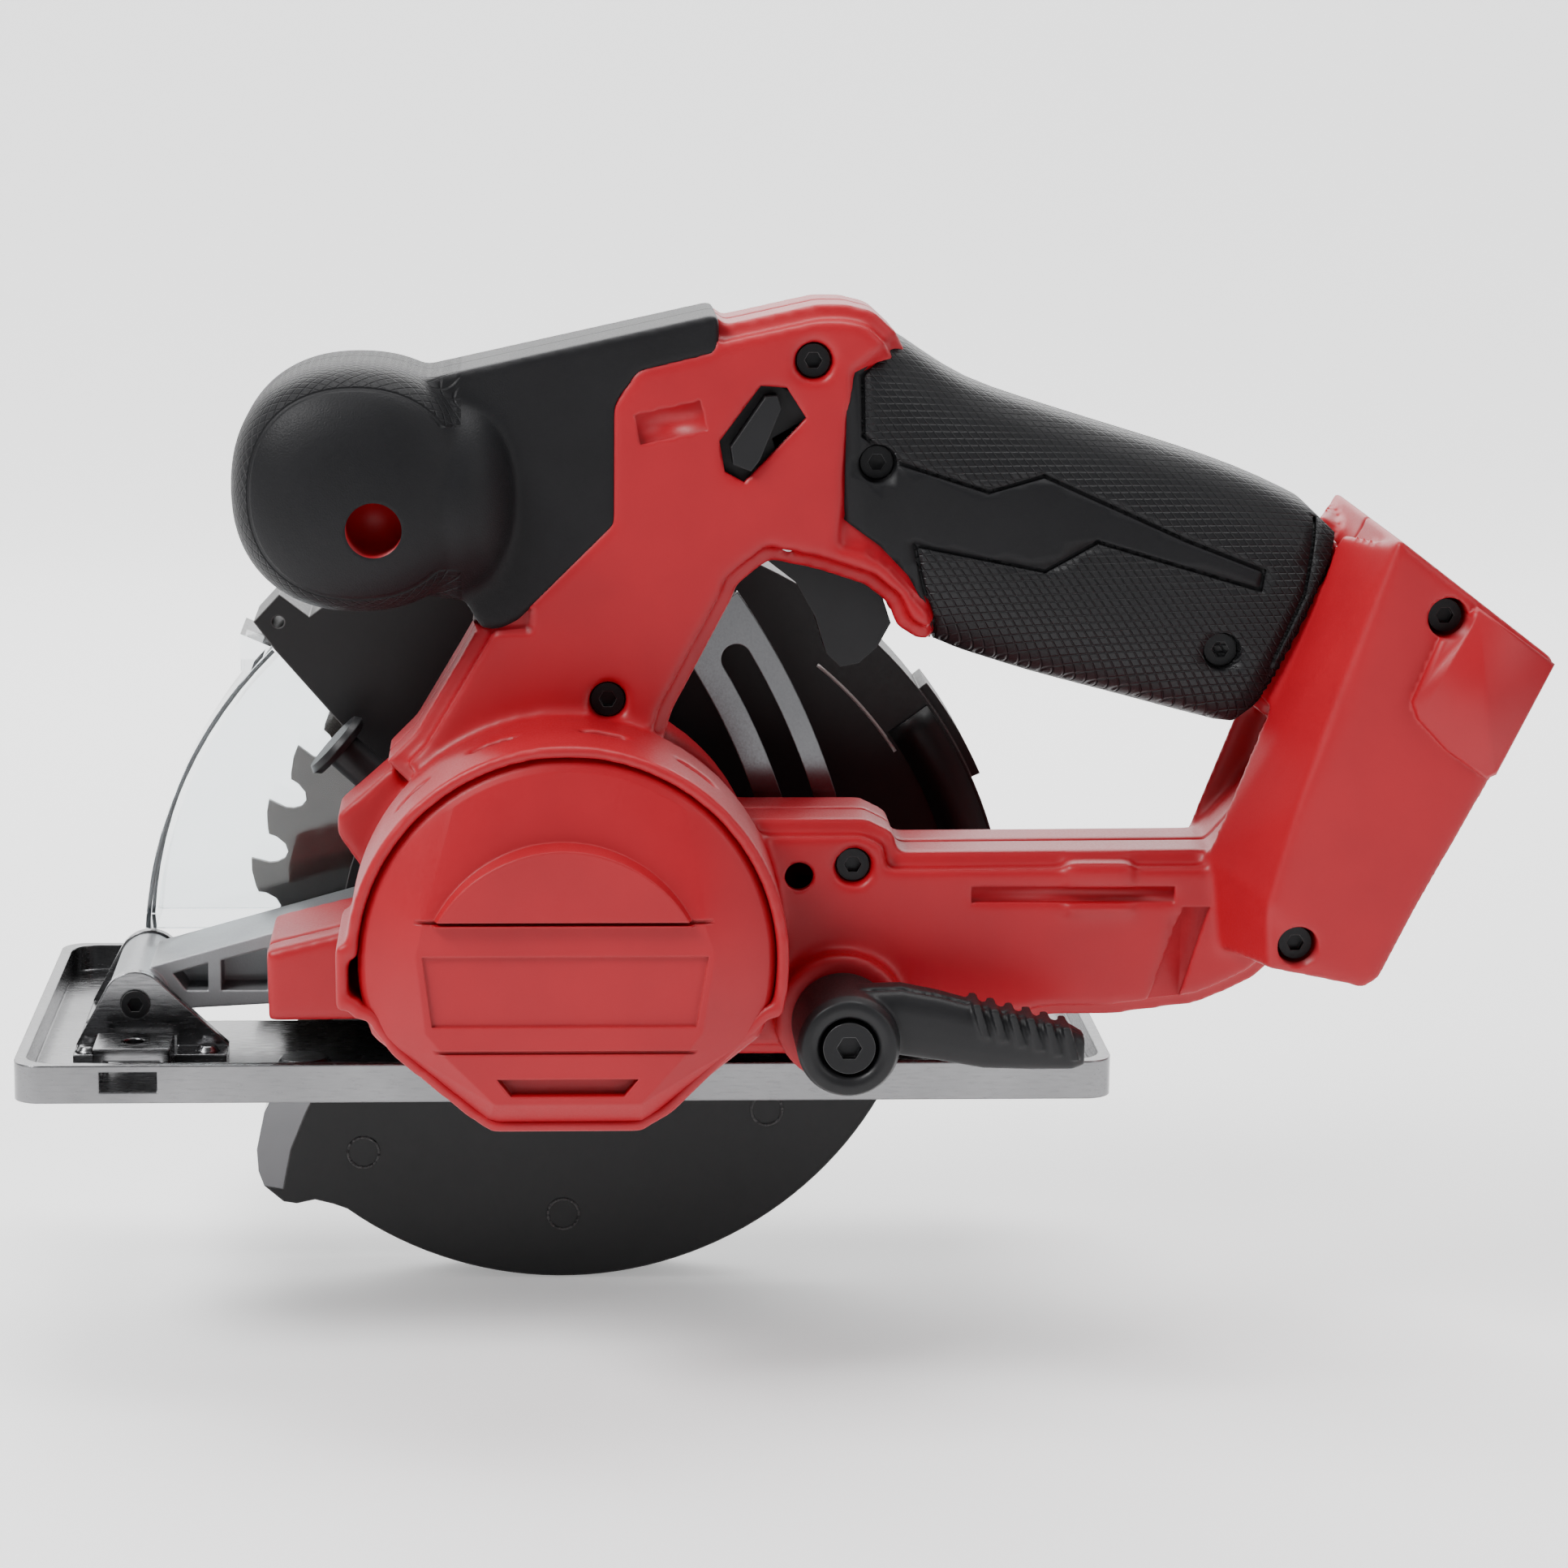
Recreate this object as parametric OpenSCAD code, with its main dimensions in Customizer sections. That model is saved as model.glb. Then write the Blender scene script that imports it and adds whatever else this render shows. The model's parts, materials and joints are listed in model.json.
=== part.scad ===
// Cordless circular saw for metal: clamshell housing with a loop handle, motor across the
// saw, one-stage gear case with a cast arm, fixed upper guard with a clear window, sprung
// lower guard, and a tray-shaped steel shoe that hinges at the front to set the cutting depth.
//
// +X points to the rear (battery) end, +Y to the blade side, +Z up. The origin is on the
// underside of the shoe, on its centreline, straight below the blade's arbor.

/* [Overall] */
// How far the battery foot reaches behind the arbor
handle_reach = 211.5; // [180:0.5:256]
// Height of the handle's crown above the underside of the shoe
handle_top = 177; // [160:0.5:214]

/* [Shoe] */
// Length of the shoe
shoe_l = 244; // [203:1:300]
// Width of the shoe
shoe_w = 118; // [112:1:144]
// Sheet thickness of the shoe
shoe_t = 2.5; // [1.6:0.1:3]
// Height of the shoe's upturned rim
rim_h = 8.6; // [6:0.1:9.5]
// Distance from the arbor forward to the shoe's hinge
hinge_reach = 97.5; // [94:0.5:117]
// Height of the shoe's hinge
hinge_h = 14.3; // [12:0.1:16]
// Radius of the hinge screw
hinge_screw_r = 3.2; // [2.6:0.1:3.9]
// How far the shoe swings down for a shallow cut, in degrees
depth_swing = 28; // [20:1:28]

/* [Blade] */
// Radius of the blade
blade_r = 75; // [62:0.5:76]
// Number of teeth on the blade
blade_teeth = 32; // [24:1:48]
// Thickness of the blade
blade_t = 1.6; // [1.2:0.1:2]
// Radius of the hole in the blade
blade_bore_r = 10; // [8:0.5:12]
// Distance of the blade from the shoe's centreline
blade_y = 20; // [20:0.5:22]
// Height of the arbor above the underside of the shoe
arbor_h = 24; // [23:0.5:26]

/* [Drive] */
// Gear module
gear_m = 1; // [1:0.1:1.2]
// Teeth on the motor pinion
pinion_teeth = 8; // [8:1:9]
// Teeth on the drive gear
gear_teeth = 26; // [24:1:28]
// Radius of the spindle in its front bearing
spindle_r = 6; // [5:0.5:7]
// Radius of the nose that the lower guard turns on
nose_r = 17; // [16:0.5:20]

/* [Housing] */
// Half the thickness of the handle and rail
shell_half = 17; // [15:0.5:20]
// Half the width of the battery foot
foot_half = 39; // [34:0.5:44]
// Half the width of the front knob
knob_half = 32; // [27:0.5:36]
// Wall of the moulded shells
wall = 2.6; // [2:0.1:3.2]
// Thickness of the rubber grips
grip_t = 2; // [1.2:0.1:2.4]
// Radius of the motor housing's rim
rim_r = 47; // [45:0.5:50]
// Radius of the stator
stator_r = 26; // [22:0.5:28]

/* [Depth lock] */
// Distance of the lock bolt behind the arbor
lock_x = 60.2; // [56:0.1:64]
// Height of the lock bolt
lock_h = 21.3; // [21:0.1:24]
// Radius of the lock bolt
lock_bolt_r = 3; // [2.5:0.1:3.6]
// Radius of the lever's hub
lever_hub_r = 10.8; // [9:0.1:12]

/* [Clearances] */
// Radial gap of a shaft that turns in its bearing
running_gap = 0.05; // [0.03:0.01:0.1]
// Radial gap of a pin or screw in a plain hole
pin_gap = 0.15; // [0.1:0.05:0.3]
// Gap between parts that move past each other
slide_gap = 0.6; // [0.4:0.1:0.8]

/* [Hidden] */

$fn = 64;
eps = 0.02;

// ---- Places that several parts share ----
mid_y = -47;
near_y = mid_y - shell_half;
far_y = mid_y + shell_half;
motor_h = arbor_h + gear_m * (pinion_teeth + gear_teeth) / 2;
rim_y = -100;
waist_y = -62;
plate_y0 = -22;
case_y0 = -16;
case_y1 = 8;
barrel_r = rim_r - 3;
barrel_floor = rim_h + 2;
bore_r = barrel_r - wall;

lower_r = blade_r + 11.4;
nose_strip_r = lower_r + 9.6;
upper_r = blade_r + 26.5;
guard_t = 2.5;
guard_y0 = case_y1;
guard_y1 = blade_y + 12;
guard_cx = 3.5;
guard_cz = arbor_h - 6;
guard_floor = rim_h + 1.6;
window_floor = hinge_h + 9.7;
lower_y0 = guard_y0 + guard_t + 0.5;
lower_y1 = guard_y1 - guard_t - 0.5;
lower_t = 1.6;

nose_y1 = 15;
bearing_y0 = 4;
bearing_y1 = 12;
flange_r = 16;
blade_y0 = blade_y - blade_t / 2;
blade_y1 = blade_y + blade_t / 2;

hinge_x = -hinge_reach;
shoe_x0 = hinge_x - 24.5;
hinge_tube_r = hinge_screw_r + 3.8;
ear_near = -26;
ear_far = 18;
ear_t = 2.5;
// Slot for the edge guide's bar, and the bridge over it
guide_x = hinge_x + 1;
guide_w = 12.8;
guide_t = 4.6;
guide_y0 = ear_near - 24;
// Feet of the hinge bracket, and the arch between them
foot_front = hinge_x - 13.5;
foot_back = hinge_x + 21;
arch_half = guide_w / 2 + 1.9;

quadrant_r = norm([lock_x - hinge_x, lock_h - hinge_h]);
lock_angle = atan2(lock_h - hinge_h, lock_x - hinge_x);
quadrant_y0 = far_y + slide_gap;
quadrant_t = 2.5;
slot_half = lock_bolt_r + 0.4;
strip_w = 6;

// Rear stations stretch with the handle's reach, heights above the motor with its height
reach_from = 75;
height_from = 66;
reach_scale = (handle_reach - reach_from) / (211.5 - reach_from);
height_scale = (handle_top - height_from) / (177 - height_from);
function reach(x) = x <= reach_from ? x : reach_from + (x - reach_from) * reach_scale;
function high(z) = z <= height_from ? z : height_from + (z - height_from) * height_scale;
function place(x, z) = [reach(x), high(z)];
function polar(r, a, x = 0, z = 0) = [x + r * cos(a), z + r * sin(a)];

// Battery rail frame: u runs up the rail, v points out of the foot's rear face
rail_base = place(176, 34);
rail_tilt = atan2(reach(197.4) - reach(176), high(78.5) - 34);
rail_len = norm(place(197.4, 78.5) - rail_base);

// Spindle lock line, straight out from the arbor
lock_pin_angle = 138;
lock_pin_y = -8;

// Screw places in the clamshell
shell_screws = [
    place(53, 165), place(67, 143), place(143, 102), place(9, 91), place(63, 54)
];
foot_screws = [place(188, 113), place(158, 41)];
knob_hole = place(-41, 130);

trigger_pivot = place(48, 125.5);
trigger_half = 8.5;
trigger_swing = 13;
lock_off_pivot = place(38.2, 144.5);

// ---- Helpers ----
// Thicken a flat X-Z outline from y0 to y1
module slab(y0, y1) {
    translate([0, y1, 0]) rotate([90, 0, 0]) linear_extrude(y1 - y0) children();
}

// Round bar along Y
module bar(r, y0, y1, at = [0, 0]) {
    translate([at[0], y1, at[1]]) rotate([90, 0, 0]) cylinder(r = r, h = y1 - y0);
}

// Round tube along Y
module tube(r_out, r_in, y0, y1, at = [0, 0]) {
    difference() {
        bar(r_out, y0, y1, at);
        bar(r_in, y0 - 1, y1 + 1, at);
    }
}

// Everything on one side of the clamshell's parting plane
module near_half() {
    translate([-200, mid_y - 200, -100]) cube([600, 200, 500]);
}

module far_half() {
    translate([-200, mid_y, -100]) cube([600, 200, 500]);
}

// Pie slice in the X-Z plane, from angle a0 to a1
module slice(r, a0, a1, at = [0, 0]) {
    steps = 8;
    polygon(concat([at], [for (i = [0:steps]) polar(r, a0 + (a1 - a0) * i / steps, at[0], at[1])]));
}

// Work in the battery rail's frame: local X is v, local Z is u
module on_rail() {
    translate([rail_base[0], mid_y, rail_base[1]]) rotate([0, rail_tilt, 0]) children();
}

// Work on the spindle lock's line: local Z runs out from the arbor
module on_lock_line() {
    translate([0, lock_pin_y, arbor_h]) rotate([0, 90 - lock_pin_angle, 0]) children();
}

// ---- Outlines of the housing ----
module handle_outline() {
    polygon([
        place(-30, 68), [-39, high(77)], place(-33, 83), place(-23, 100), place(-19, 107),
        place(-22, 114), place(-22, 162), place(32, 174.5), place(34, 172.5), place(54, 177),
        place(60, 177), place(66, 175.5), place(72, 170), place(78, 163), place(83, 160),
        place(96, 156), place(118, 150), place(142, 141), place(161, 130.5), place(169, 126),
        place(168, 92), place(156, 84), place(147, 87), place(131, 91), place(113, 94),
        place(93, 99.5), place(84, 103), place(76, 104.5), place(72, 107), place(70, 112),
        place(65, 116), place(54, 119.5), place(44, 121.5), place(37, 116), place(36, 113),
        place(23, 88), place(18, 70)
    ]);
}

module rail_outline() {
    polygon([
        [30, barrel_floor], [30, 64], [66, 64], [72, 61], [73, 56.5], place(143, 57),
        place(156, 72), place(166, 90), place(170, 40), place(161, 35.5), place(153, 28),
        place(146, 24.5), place(140, 22), place(121, 19.5), place(108, 19.5), place(84, 15),
        [70, barrel_floor]
    ]);
}

module foot_outline() {
    polygon([
        place(176.7, 130.1), place(211.5, 103.8), place(200.3, 80.4), place(197.4, 78.5),
        rail_base, place(172.3, 31.4), place(163, 35.5), place(152, 50), place(158, 72),
        place(167, 93.6), place(173, 115)
    ]);
}

module foot_flare_outline() {
    polygon([
        place(176.7, 129), place(204, 106), rail_base, place(163, 35.5), place(149, 46),
        place(156, 72), place(163, 93.6), place(169, 115)
    ]);
}

// Motor housing seen from its end: a circle with a faceted chin
module motor_rim_outline() {
    intersection() {
        translate([0, motor_h]) circle(r = rim_r);
        translate([-80, motor_h - 12]) square([160, 80]);
    }
    polygon([
        [-rim_r - 2, motor_h + 4], [-rim_r - 2, 31], [-rim_r + 3, 31], [-37, 21], [-21.5, 8],
        [-16, 4.2], [15.5, 4.2], [22.5, 8.5], [34, 20], [rim_r - 5, 28], [rim_r - 0.5, 33.5],
        [rim_r, motor_h]
    ]);
}

module motor_barrel_outline() {
    intersection() {
        translate([0, motor_h]) circle(r = barrel_r);
        translate([-80, barrel_floor]) square([160, 120]);
    }
}

module front_block_outline() {
    polygon([[-66, 33.5], [-40, 40], [-36, 18], [-65.6, 17.6]]);
}

module lock_tab_outline() {
    polygon([[-38, 73], [-50.5, 62], [-50.5, 57.5], [-44, 48], [-32, 62]]);
}

// Where rubber covers the shells
module rear_grip_zone() {
    polygon([
        place(75.5, 172), place(69, 161), place(60.5, 154), place(58.5, 124.5),
        place(64, 124), place(70, 120), place(75, 114), place(79.5, 109), place(82, 98),
        place(152, 78), place(157, 88), place(163, 105), place(168.5, 126), place(168, 134),
        place(120, 156), place(84, 172)
    ]);
}

module front_grip_zone() {
    polygon([
        place(-30, 170), place(31.5, 182), place(31.5, 167), place(15, 163), place(10, 155),
        place(10, 130), place(-11, 109), place(-16, 107), place(-30, 106)
    ]);
}

module knob_outline() {
    hull() {
        translate(place(-50, 138.5)) circle(r = 22);
        translate(place(-42, 137)) circle(r = 27);
        translate(place(-34, 137.5)) circle(r = 24);
    }
}

// Handle and rail as one block, stepped at its edges, drawn inset by a given amount
module handle_block(inset) {
    slab(near_y + 4 + inset, far_y - 4 - inset) offset(delta = -inset) children();
    slab(near_y + inset, far_y - inset) offset(delta = -inset - 3.2) children();
}

module foot_block(inset) {
    slab(mid_y - foot_half + inset, mid_y + foot_half - inset)
        offset(delta = -inset) foot_outline();
    slab(mid_y - foot_half + 10 + inset, mid_y + foot_half - 10 - inset)
        offset(delta = -inset) foot_flare_outline();
}

module motor_block(inset) {
    slab(rim_y, waist_y - inset) offset(delta = -inset) motor_rim_outline();
    slab(waist_y - inset - eps, case_y0) offset(delta = -inset) motor_barrel_outline();
}

// All of the clamshell's outer bodies
module housing_outer() {
    handle_block(0) handle_outline();
    handle_block(0) rail_outline();
    foot_block(0);
    motor_block(0);
    slab(-56, case_y0 - 3) front_block_outline();
    slab(-45, -25) lock_tab_outline();
    bar(14.5, near_y - 7, near_y + 3, [lock_x, lock_h]);
}

// The clamshell's hollow, deeper where rubber covers the shell
module housing_hollow() {
    difference() {
        handle_block(wall) handle_outline();
        handle_skin_zone();
    }
    intersection() {
        handle_block(grip_t + wall) handle_outline();
        handle_skin_zone();
    }
    handle_block(wall) rail_outline();
    foot_block(wall);
    motor_block(wall);
}

// Battery slide: a slot open at the rear face and at the lower end
slide_half = foot_half - 9;
slide_deep = 15;
module battery_slot() {
    on_rail() translate([-slide_deep, -slide_half, -14]) cube([slide_deep + 12, 2 * slide_half, rail_len + 12]);
}

module battery_slot_walls() {
    intersection() {
        on_rail() translate([-slide_deep - wall, -foot_half + 2, -14])
            cube([slide_deep + wall, 2 * foot_half - 4, rail_len + 12 + wall]);
        foot_block(0);
    }
}

module battery_ribs() {
    for (side = [-1, 1])
        on_rail() translate([-3.5, side > 0 ? slide_half - 3.5 : -slide_half - 1, 3])
            cube([3, 4.5, rail_len - 8]);
}

// Screw posts inside the shells
module screw_posts() {
    for (p = shell_screws) bar(5.4, near_y + 1, far_y - 1, p);
    for (p = foot_screws) bar(5.4, mid_y - foot_half + 1, mid_y + foot_half - 1, p);
}

module screw_holes() {
    for (p = shell_screws) {
        bar(4.2, near_y - 1, near_y + 6, p);
        bar(2.15, near_y, mid_y, p);
        bar(1.9, mid_y, far_y - 4, p);
    }
    for (p = foot_screws) {
        bar(4.2, mid_y - foot_half - 1, mid_y - foot_half + 7, p);
        bar(2.15, mid_y - foot_half, mid_y, p);
        bar(1.9, mid_y, mid_y + foot_half - 7, p);
    }
}

// Space that the trigger sweeps, with room round it
module trigger_room() {
    slab(mid_y - trigger_half - 0.8, mid_y + trigger_half + 0.8) offset(delta = 0.8) hull() {
        trigger_outline();
        turned_trigger(trigger_swing);
    }
}

module turned_trigger(a) {
    translate(trigger_pivot) rotate(a) translate(-trigger_pivot) trigger_outline();
}

module trigger_outline() {
    polygon([
        place(43.5, 121), place(50, 116), place(54.5, 108), place(57, 100), place(60, 97.2),
        place(64, 98), place(68, 101.5), place(71, 107), place(67, 119), place(58, 129),
        place(46, 130), place(43.5, 127)
    ]);
}

// Window that the lock-off lever swings in
module lock_off_window() {
    polygon([
        place(34.5, 141.5), place(38, 139.5), place(50.5, 153), place(46.5, 158.5),
        place(42, 159), place(33.5, 147.5)
    ]);
}

// The stator's seat: a ring on four ribs
module stator_seat() {
    difference() {
        union() {
            tube(stator_r + 2.4, stator_r, -68, -46, [0, motor_h]);
            for (a = [45:90:315])
                translate([0, -68, motor_h]) rotate([0, -a, 0])
                    translate([stator_r + 1, 0, -1.5]) cube([bore_r - stator_r, 22, 3]);
        }
        translate([-80, -90, -60]) cube([160, 80, 60 + barrel_floor + wall - 0.6]);
    }
}

module housing_all() {
    difference() {
        union() {
            difference() {
                union() {
                    difference() {
                        housing_outer();
                        handle_skin_zone();
                    }
                    handle_core();
                    knob_core();
                }
                housing_hollow();
            }
            intersection() {
                screw_posts();
                housing_outer_plain();
            }
            battery_slot_walls();
            stator_seat();
            bar(lock_bolt_r + 4, near_y - 7, far_y, [lock_x, lock_h]);
        }
        battery_slot();
        screw_holes();
        trigger_room();
        bar(2, mid_y - 14, mid_y + 14, trigger_pivot);
        slab(near_y - 1, near_y + 8) lock_off_window();
        slab(far_y - 8, far_y + 1) lock_off_window();
        bar(lock_bolt_r + pin_gap, near_y - 12, far_y + 1, [lock_x, lock_h]);
        cap_seat();
        knob_screw_hole();
        wrench_groove();
        vent_slots();
    }
    battery_ribs();
}

module housing_outer_plain() {
    difference() {
        handle_block(wall / 2) handle_outline();
        handle_skin_zone();
    }
    intersection() {
        handle_block(grip_t + wall / 2) handle_outline();
        handle_skin_zone();
    }
    handle_block(wall / 2) rail_outline();
    foot_block(wall / 2);
}

module handle_skin_zone() {
    slab(near_y - 1, far_y + 1) rear_grip_zone();
    slab(near_y - 1, far_y + 1) front_grip_zone();
}

module handle_core() {
    intersection() {
        handle_block(grip_t) handle_outline();
        handle_skin_zone();
    }
}

module knob_core() {
    slab(mid_y - knob_half + 3, mid_y + knob_half - 3) offset(delta = -3) knob_outline();
}

module knob_screw_hole() {
    bar(4.6, mid_y - knob_half - 1, mid_y - 12, knob_hole);
    bar(2.15, mid_y - 13, mid_y, knob_hole);
    bar(1.9, mid_y - 1, mid_y + 14, knob_hole);
}

// Recess in the rim that the end cap drops into
cap_gap = 0.2;
module cap_outline() {
    offset(delta = -3.4) motor_rim_outline();
}

module cap_seat() {
    slab(rim_y - 1, rim_y + 6) cap_outline();
}

module wrench_groove() {
    translate([89, near_y - 1, 46]) cube([reach(134) - 89, 2.2, 3]);
    translate([reach(128), near_y - 1, 22]) rotate([0, 15, 0]) cube([6, 2.2, 22]);
}

module vent_slots() {
    for (i = [0:3]) translate([-34 + 20 * i, waist_y - 20, motor_h + rim_r - 12])
        rotate([0, -30 + 20 * i, 0]) translate([-5, 0, -8]) cube([10, 3, 40]);
}

// ---- Housing ----
module housing_left() {
    color([0.75, 0.13, 0.15]) intersection() {
        housing_all();
        near_half();
    }
}

module housing_right() {
    color([0.72, 0.12, 0.14]) intersection() {
        housing_all();
        far_half();
    }
}

module motor_end_cap() {
    face_y = rim_y - 6;
    color([0.78, 0.14, 0.16]) difference() {
        union() {
            slab(rim_y - 1, rim_y + 6) offset(delta = -cap_gap) cap_outline();
            slab(rim_y - 4, rim_y) offset(delta = -3.5) cap_outline();
            slab(face_y, rim_y) polygon([
                [-30, motor_h + 12], [-31, motor_h + 3], [-29, 27], [-25, 17], [-17, 6.6],
                [17, 6.6], [25, 17], [28, 27], [30, motor_h + 3], [28, motor_h + 12],
                [14, motor_h + 24], [0, motor_h + 27], [-16, motor_h + 24]
            ]);
            bar(11, rim_y, rim_y + 10, [0, motor_h]);
        }
        slab(face_y - 1, face_y + 1) polygon([
            [-28, motor_h + 1.5], [-26, 29], [25, 29], [27, motor_h + 1.5]
        ]);
        slab(face_y - 1, face_y + 2) polygon([[-15, 17], [15, 17], [12, 13], [-12, 13]]);
        slab(rim_y - 1, rim_y + 7) intersection() {
            offset(delta = -6) cap_outline();
            difference() {
                translate([-60, -20]) square([120, 140]);
                translate([0, motor_h]) circle(r = 11);
            }
        }
        bar(8, rim_y + 4, rim_y + 11, [0, motor_h]);
    }
}

module front_skin() {
    difference() {
        union() {
            intersection() {
                handle_block(0) handle_outline();
                slab(near_y - 1, far_y + 1) front_grip_zone();
            }
            slab(mid_y - knob_half, mid_y + knob_half) knob_outline();
        }
        handle_block(grip_t) handle_outline();
        slab(mid_y - knob_half + 3, mid_y + knob_half - 3) offset(delta = -3) knob_outline();
        difference() {
            handle_block(0) handle_outline();
            slab(near_y - 2, far_y + 2) front_grip_zone();
        }
        bar(6.5, mid_y - knob_half - 1, mid_y - knob_half + 4, knob_hole);
    }
}

module front_grip_left() {
    color([0.13, 0.13, 0.14]) intersection() {
        front_skin();
        near_half();
    }
}

module front_grip_right() {
    color([0.11, 0.11, 0.12]) intersection() {
        front_skin();
        far_half();
    }
}

module rear_skin() {
    difference() {
        intersection() {
            handle_block(0) handle_outline();
            slab(near_y - 1, far_y + 1) rear_grip_zone();
        }
        handle_block(grip_t) handle_outline();
        foot_block(0);
        handle_block(0) rail_outline();
        for (p = shell_screws) bar(4.2, near_y - 1, near_y + 6, p);
        trigger_room();
    }
}

module rear_grip_left() {
    color([0.14, 0.14, 0.15]) intersection() {
        rear_skin();
        near_half();
    }
}

module rear_grip_right() {
    color([0.12, 0.12, 0.13]) intersection() {
        rear_skin();
        far_half();
    }
}

// Self-tapping screw along Y, head towards -Y, with a star recess drawn as a hexagon
module shell_screw(at, head_y, length) {
    difference() {
        union() {
            bar(3.6, head_y, head_y + 2.6, at);
            bar(1.9, head_y + 2.6, head_y + length, at);
        }
        translate([at[0], head_y + 1.8, at[1]]) rotate([90, 0, 0])
            cylinder(r = 1.9, h = 4, $fn = 6);
    }
}

module housing_screws() {
    color([0.12, 0.12, 0.13]) {
        for (p = shell_screws) shell_screw(p, near_y + 3.4, 24);
        for (p = foot_screws) shell_screw(p, mid_y - foot_half + 4.4, 60);
    }
}

module knob_screw() {
    color([0.12, 0.12, 0.13]) shell_screw(knob_hole, mid_y - 14.6, 26);
}

// ---- Motor ----
module stator_core() {
    color([0.4, 0.41, 0.43]) difference() {
        union() {
            tube(stator_r, stator_r - 5, -66, -46, [0, motor_h]);
            for (a = [0:60:300]) translate([0, -66, motor_h]) rotate([0, -a, 0])
                translate([15, 0, -2.5]) cube([stator_r - 19, 20, 5]);
            for (a = [0:60:300]) intersection() {
                tube(16.4, 14.2, -66, -46, [0, motor_h]);
                slab(-67, -45) slice(20, a - 24, a + 24, [0, motor_h]);
            }
        }
    }
}

module stator_windings() {
    slot = 5.2;
    color([0.72, 0.42, 0.2]) for (a = [0:60:300])
        translate([0, 0, motor_h]) rotate([0, -a, 0]) difference() {
            translate([16.6, -71, -5]) cube([stator_r - 22.4, 30, 10]);
            translate([16, -66.2, -slot / 2]) cube([10, 20.4, slot]);
        }
}

module rotor_core() {
    color([0.55, 0.56, 0.58]) tube(13.4, 4, -67, -45, [0, motor_h]);
}

module rotor_shaft() {
    color([0.7, 0.7, 0.72]) {
        bar(2.5, -95.6, -90, [0, motor_h]);
        bar(4, -90, -23, [0, motor_h]);
        bar(3, -23, -15.6, [0, motor_h]);
        bar(2, -15.6, -4.5, [0, motor_h]);
    }
}

module motor_fan() {
    color([0.16, 0.16, 0.17]) {
        tube(8, 4, -88, -78, [0, motor_h]);
        tube(24, 8, -79.5, -78, [0, motor_h]);
        for (a = [0:40:320]) translate([0, -88, motor_h]) rotate([0, -a, 0])
            translate([7.5, 0, -0.8]) cube([16.3, 9, 1.6]);
    }
}

module rotor_bearing_rear() {
    color([0.8, 0.8, 0.82]) tube(8, 2.5 + running_gap, -96, -91, [0, motor_h]);
}

module rotor_bearing_front() {
    color([0.8, 0.8, 0.82]) tube(7.5, 3 + running_gap, plate_y0 + 0.5, -17, [0, motor_h]);
}

// ---- Gears ----
// Straight-flanked tooth wheel with backlash, a tooth centred on angle 90
module tooth_outline(teeth, phase) {
    pitch = 360 / teeth;
    pr = gear_m * teeth / 2;
    half_root = 0.27 * pitch;
    half_tip = 0.11 * pitch;
    polygon([for (i = [0:teeth - 1]) each [
        polar(pr - 1.15 * gear_m, 90 + phase + i * pitch - half_root),
        polar(pr + 0.8 * gear_m, 90 + phase + i * pitch - half_tip),
        polar(pr + 0.8 * gear_m, 90 + phase + i * pitch + half_tip),
        polar(pr - 1.15 * gear_m, 90 + phase + i * pitch + half_root)
    ]]);
}

module pinion() {
    color([0.6, 0.6, 0.62]) difference() {
        slab(-13.5, -4.5) translate([0, motor_h]) tooth_outline(pinion_teeth, pinion_phase);
        bar(2, -14, -4, [0, motor_h]);
    }
}

// The pinion shows a gap where the drive gear shows a tooth
pinion_phase = pinion_teeth % 2 == 0 ? 180 / pinion_teeth : 0;

module drive_gear() {
    color([0.58, 0.58, 0.6]) difference() {
        slab(-13, -5) translate([0, arbor_h]) tooth_outline(gear_teeth, 0);
        bar(5, -14, -4, [0, arbor_h]);
    }
}

// ---- Gear case and spindle ----
lug_places = [for (a = [20, 78, 210, 330]) polar(33, a, 0, motor_h)];

module bearing_plate() {
    color([0.62, 0.63, 0.65]) difference() {
        slab(plate_y0, case_y0) offset(delta = -wall - 0.1) motor_barrel_outline();
        bar(7.5, plate_y0 + 0.5, case_y0 + 1, [0, motor_h]);
        bar(5, plate_y0 - 1, case_y0 + 1, [0, motor_h]);
        bar(7, plate_y0 + 1, case_y0 + 1, [0, arbor_h]);
        for (p = lug_places) bar(1.7, plate_y0 - 1, case_y0 + 1, p);
    }
}

module case_outline() {
    hull() {
        translate([0, arbor_h]) circle(r = 20);
        translate([0, motor_h + 6]) circle(r = 15);
    }
}

module case_flange_outline() {
    hull() {
        for (p = lug_places) translate(p) circle(r = 6.5);
        translate([0, arbor_h]) circle(r = 20);
    }
}

// Cast arm from the gear case forward to the hinge tube
arm_y0 = -18;
arm_y1 = case_y1 - 0.5;
module arm_outline() {
    polygon([
        [hinge_x + 3, hinge_h + 6.9], [-51, 33.5], [-24, 41], [-18, 12], [-66, 12.4],
        [hinge_x + 3, hinge_h - 3.4]
    ]);
}

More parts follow.
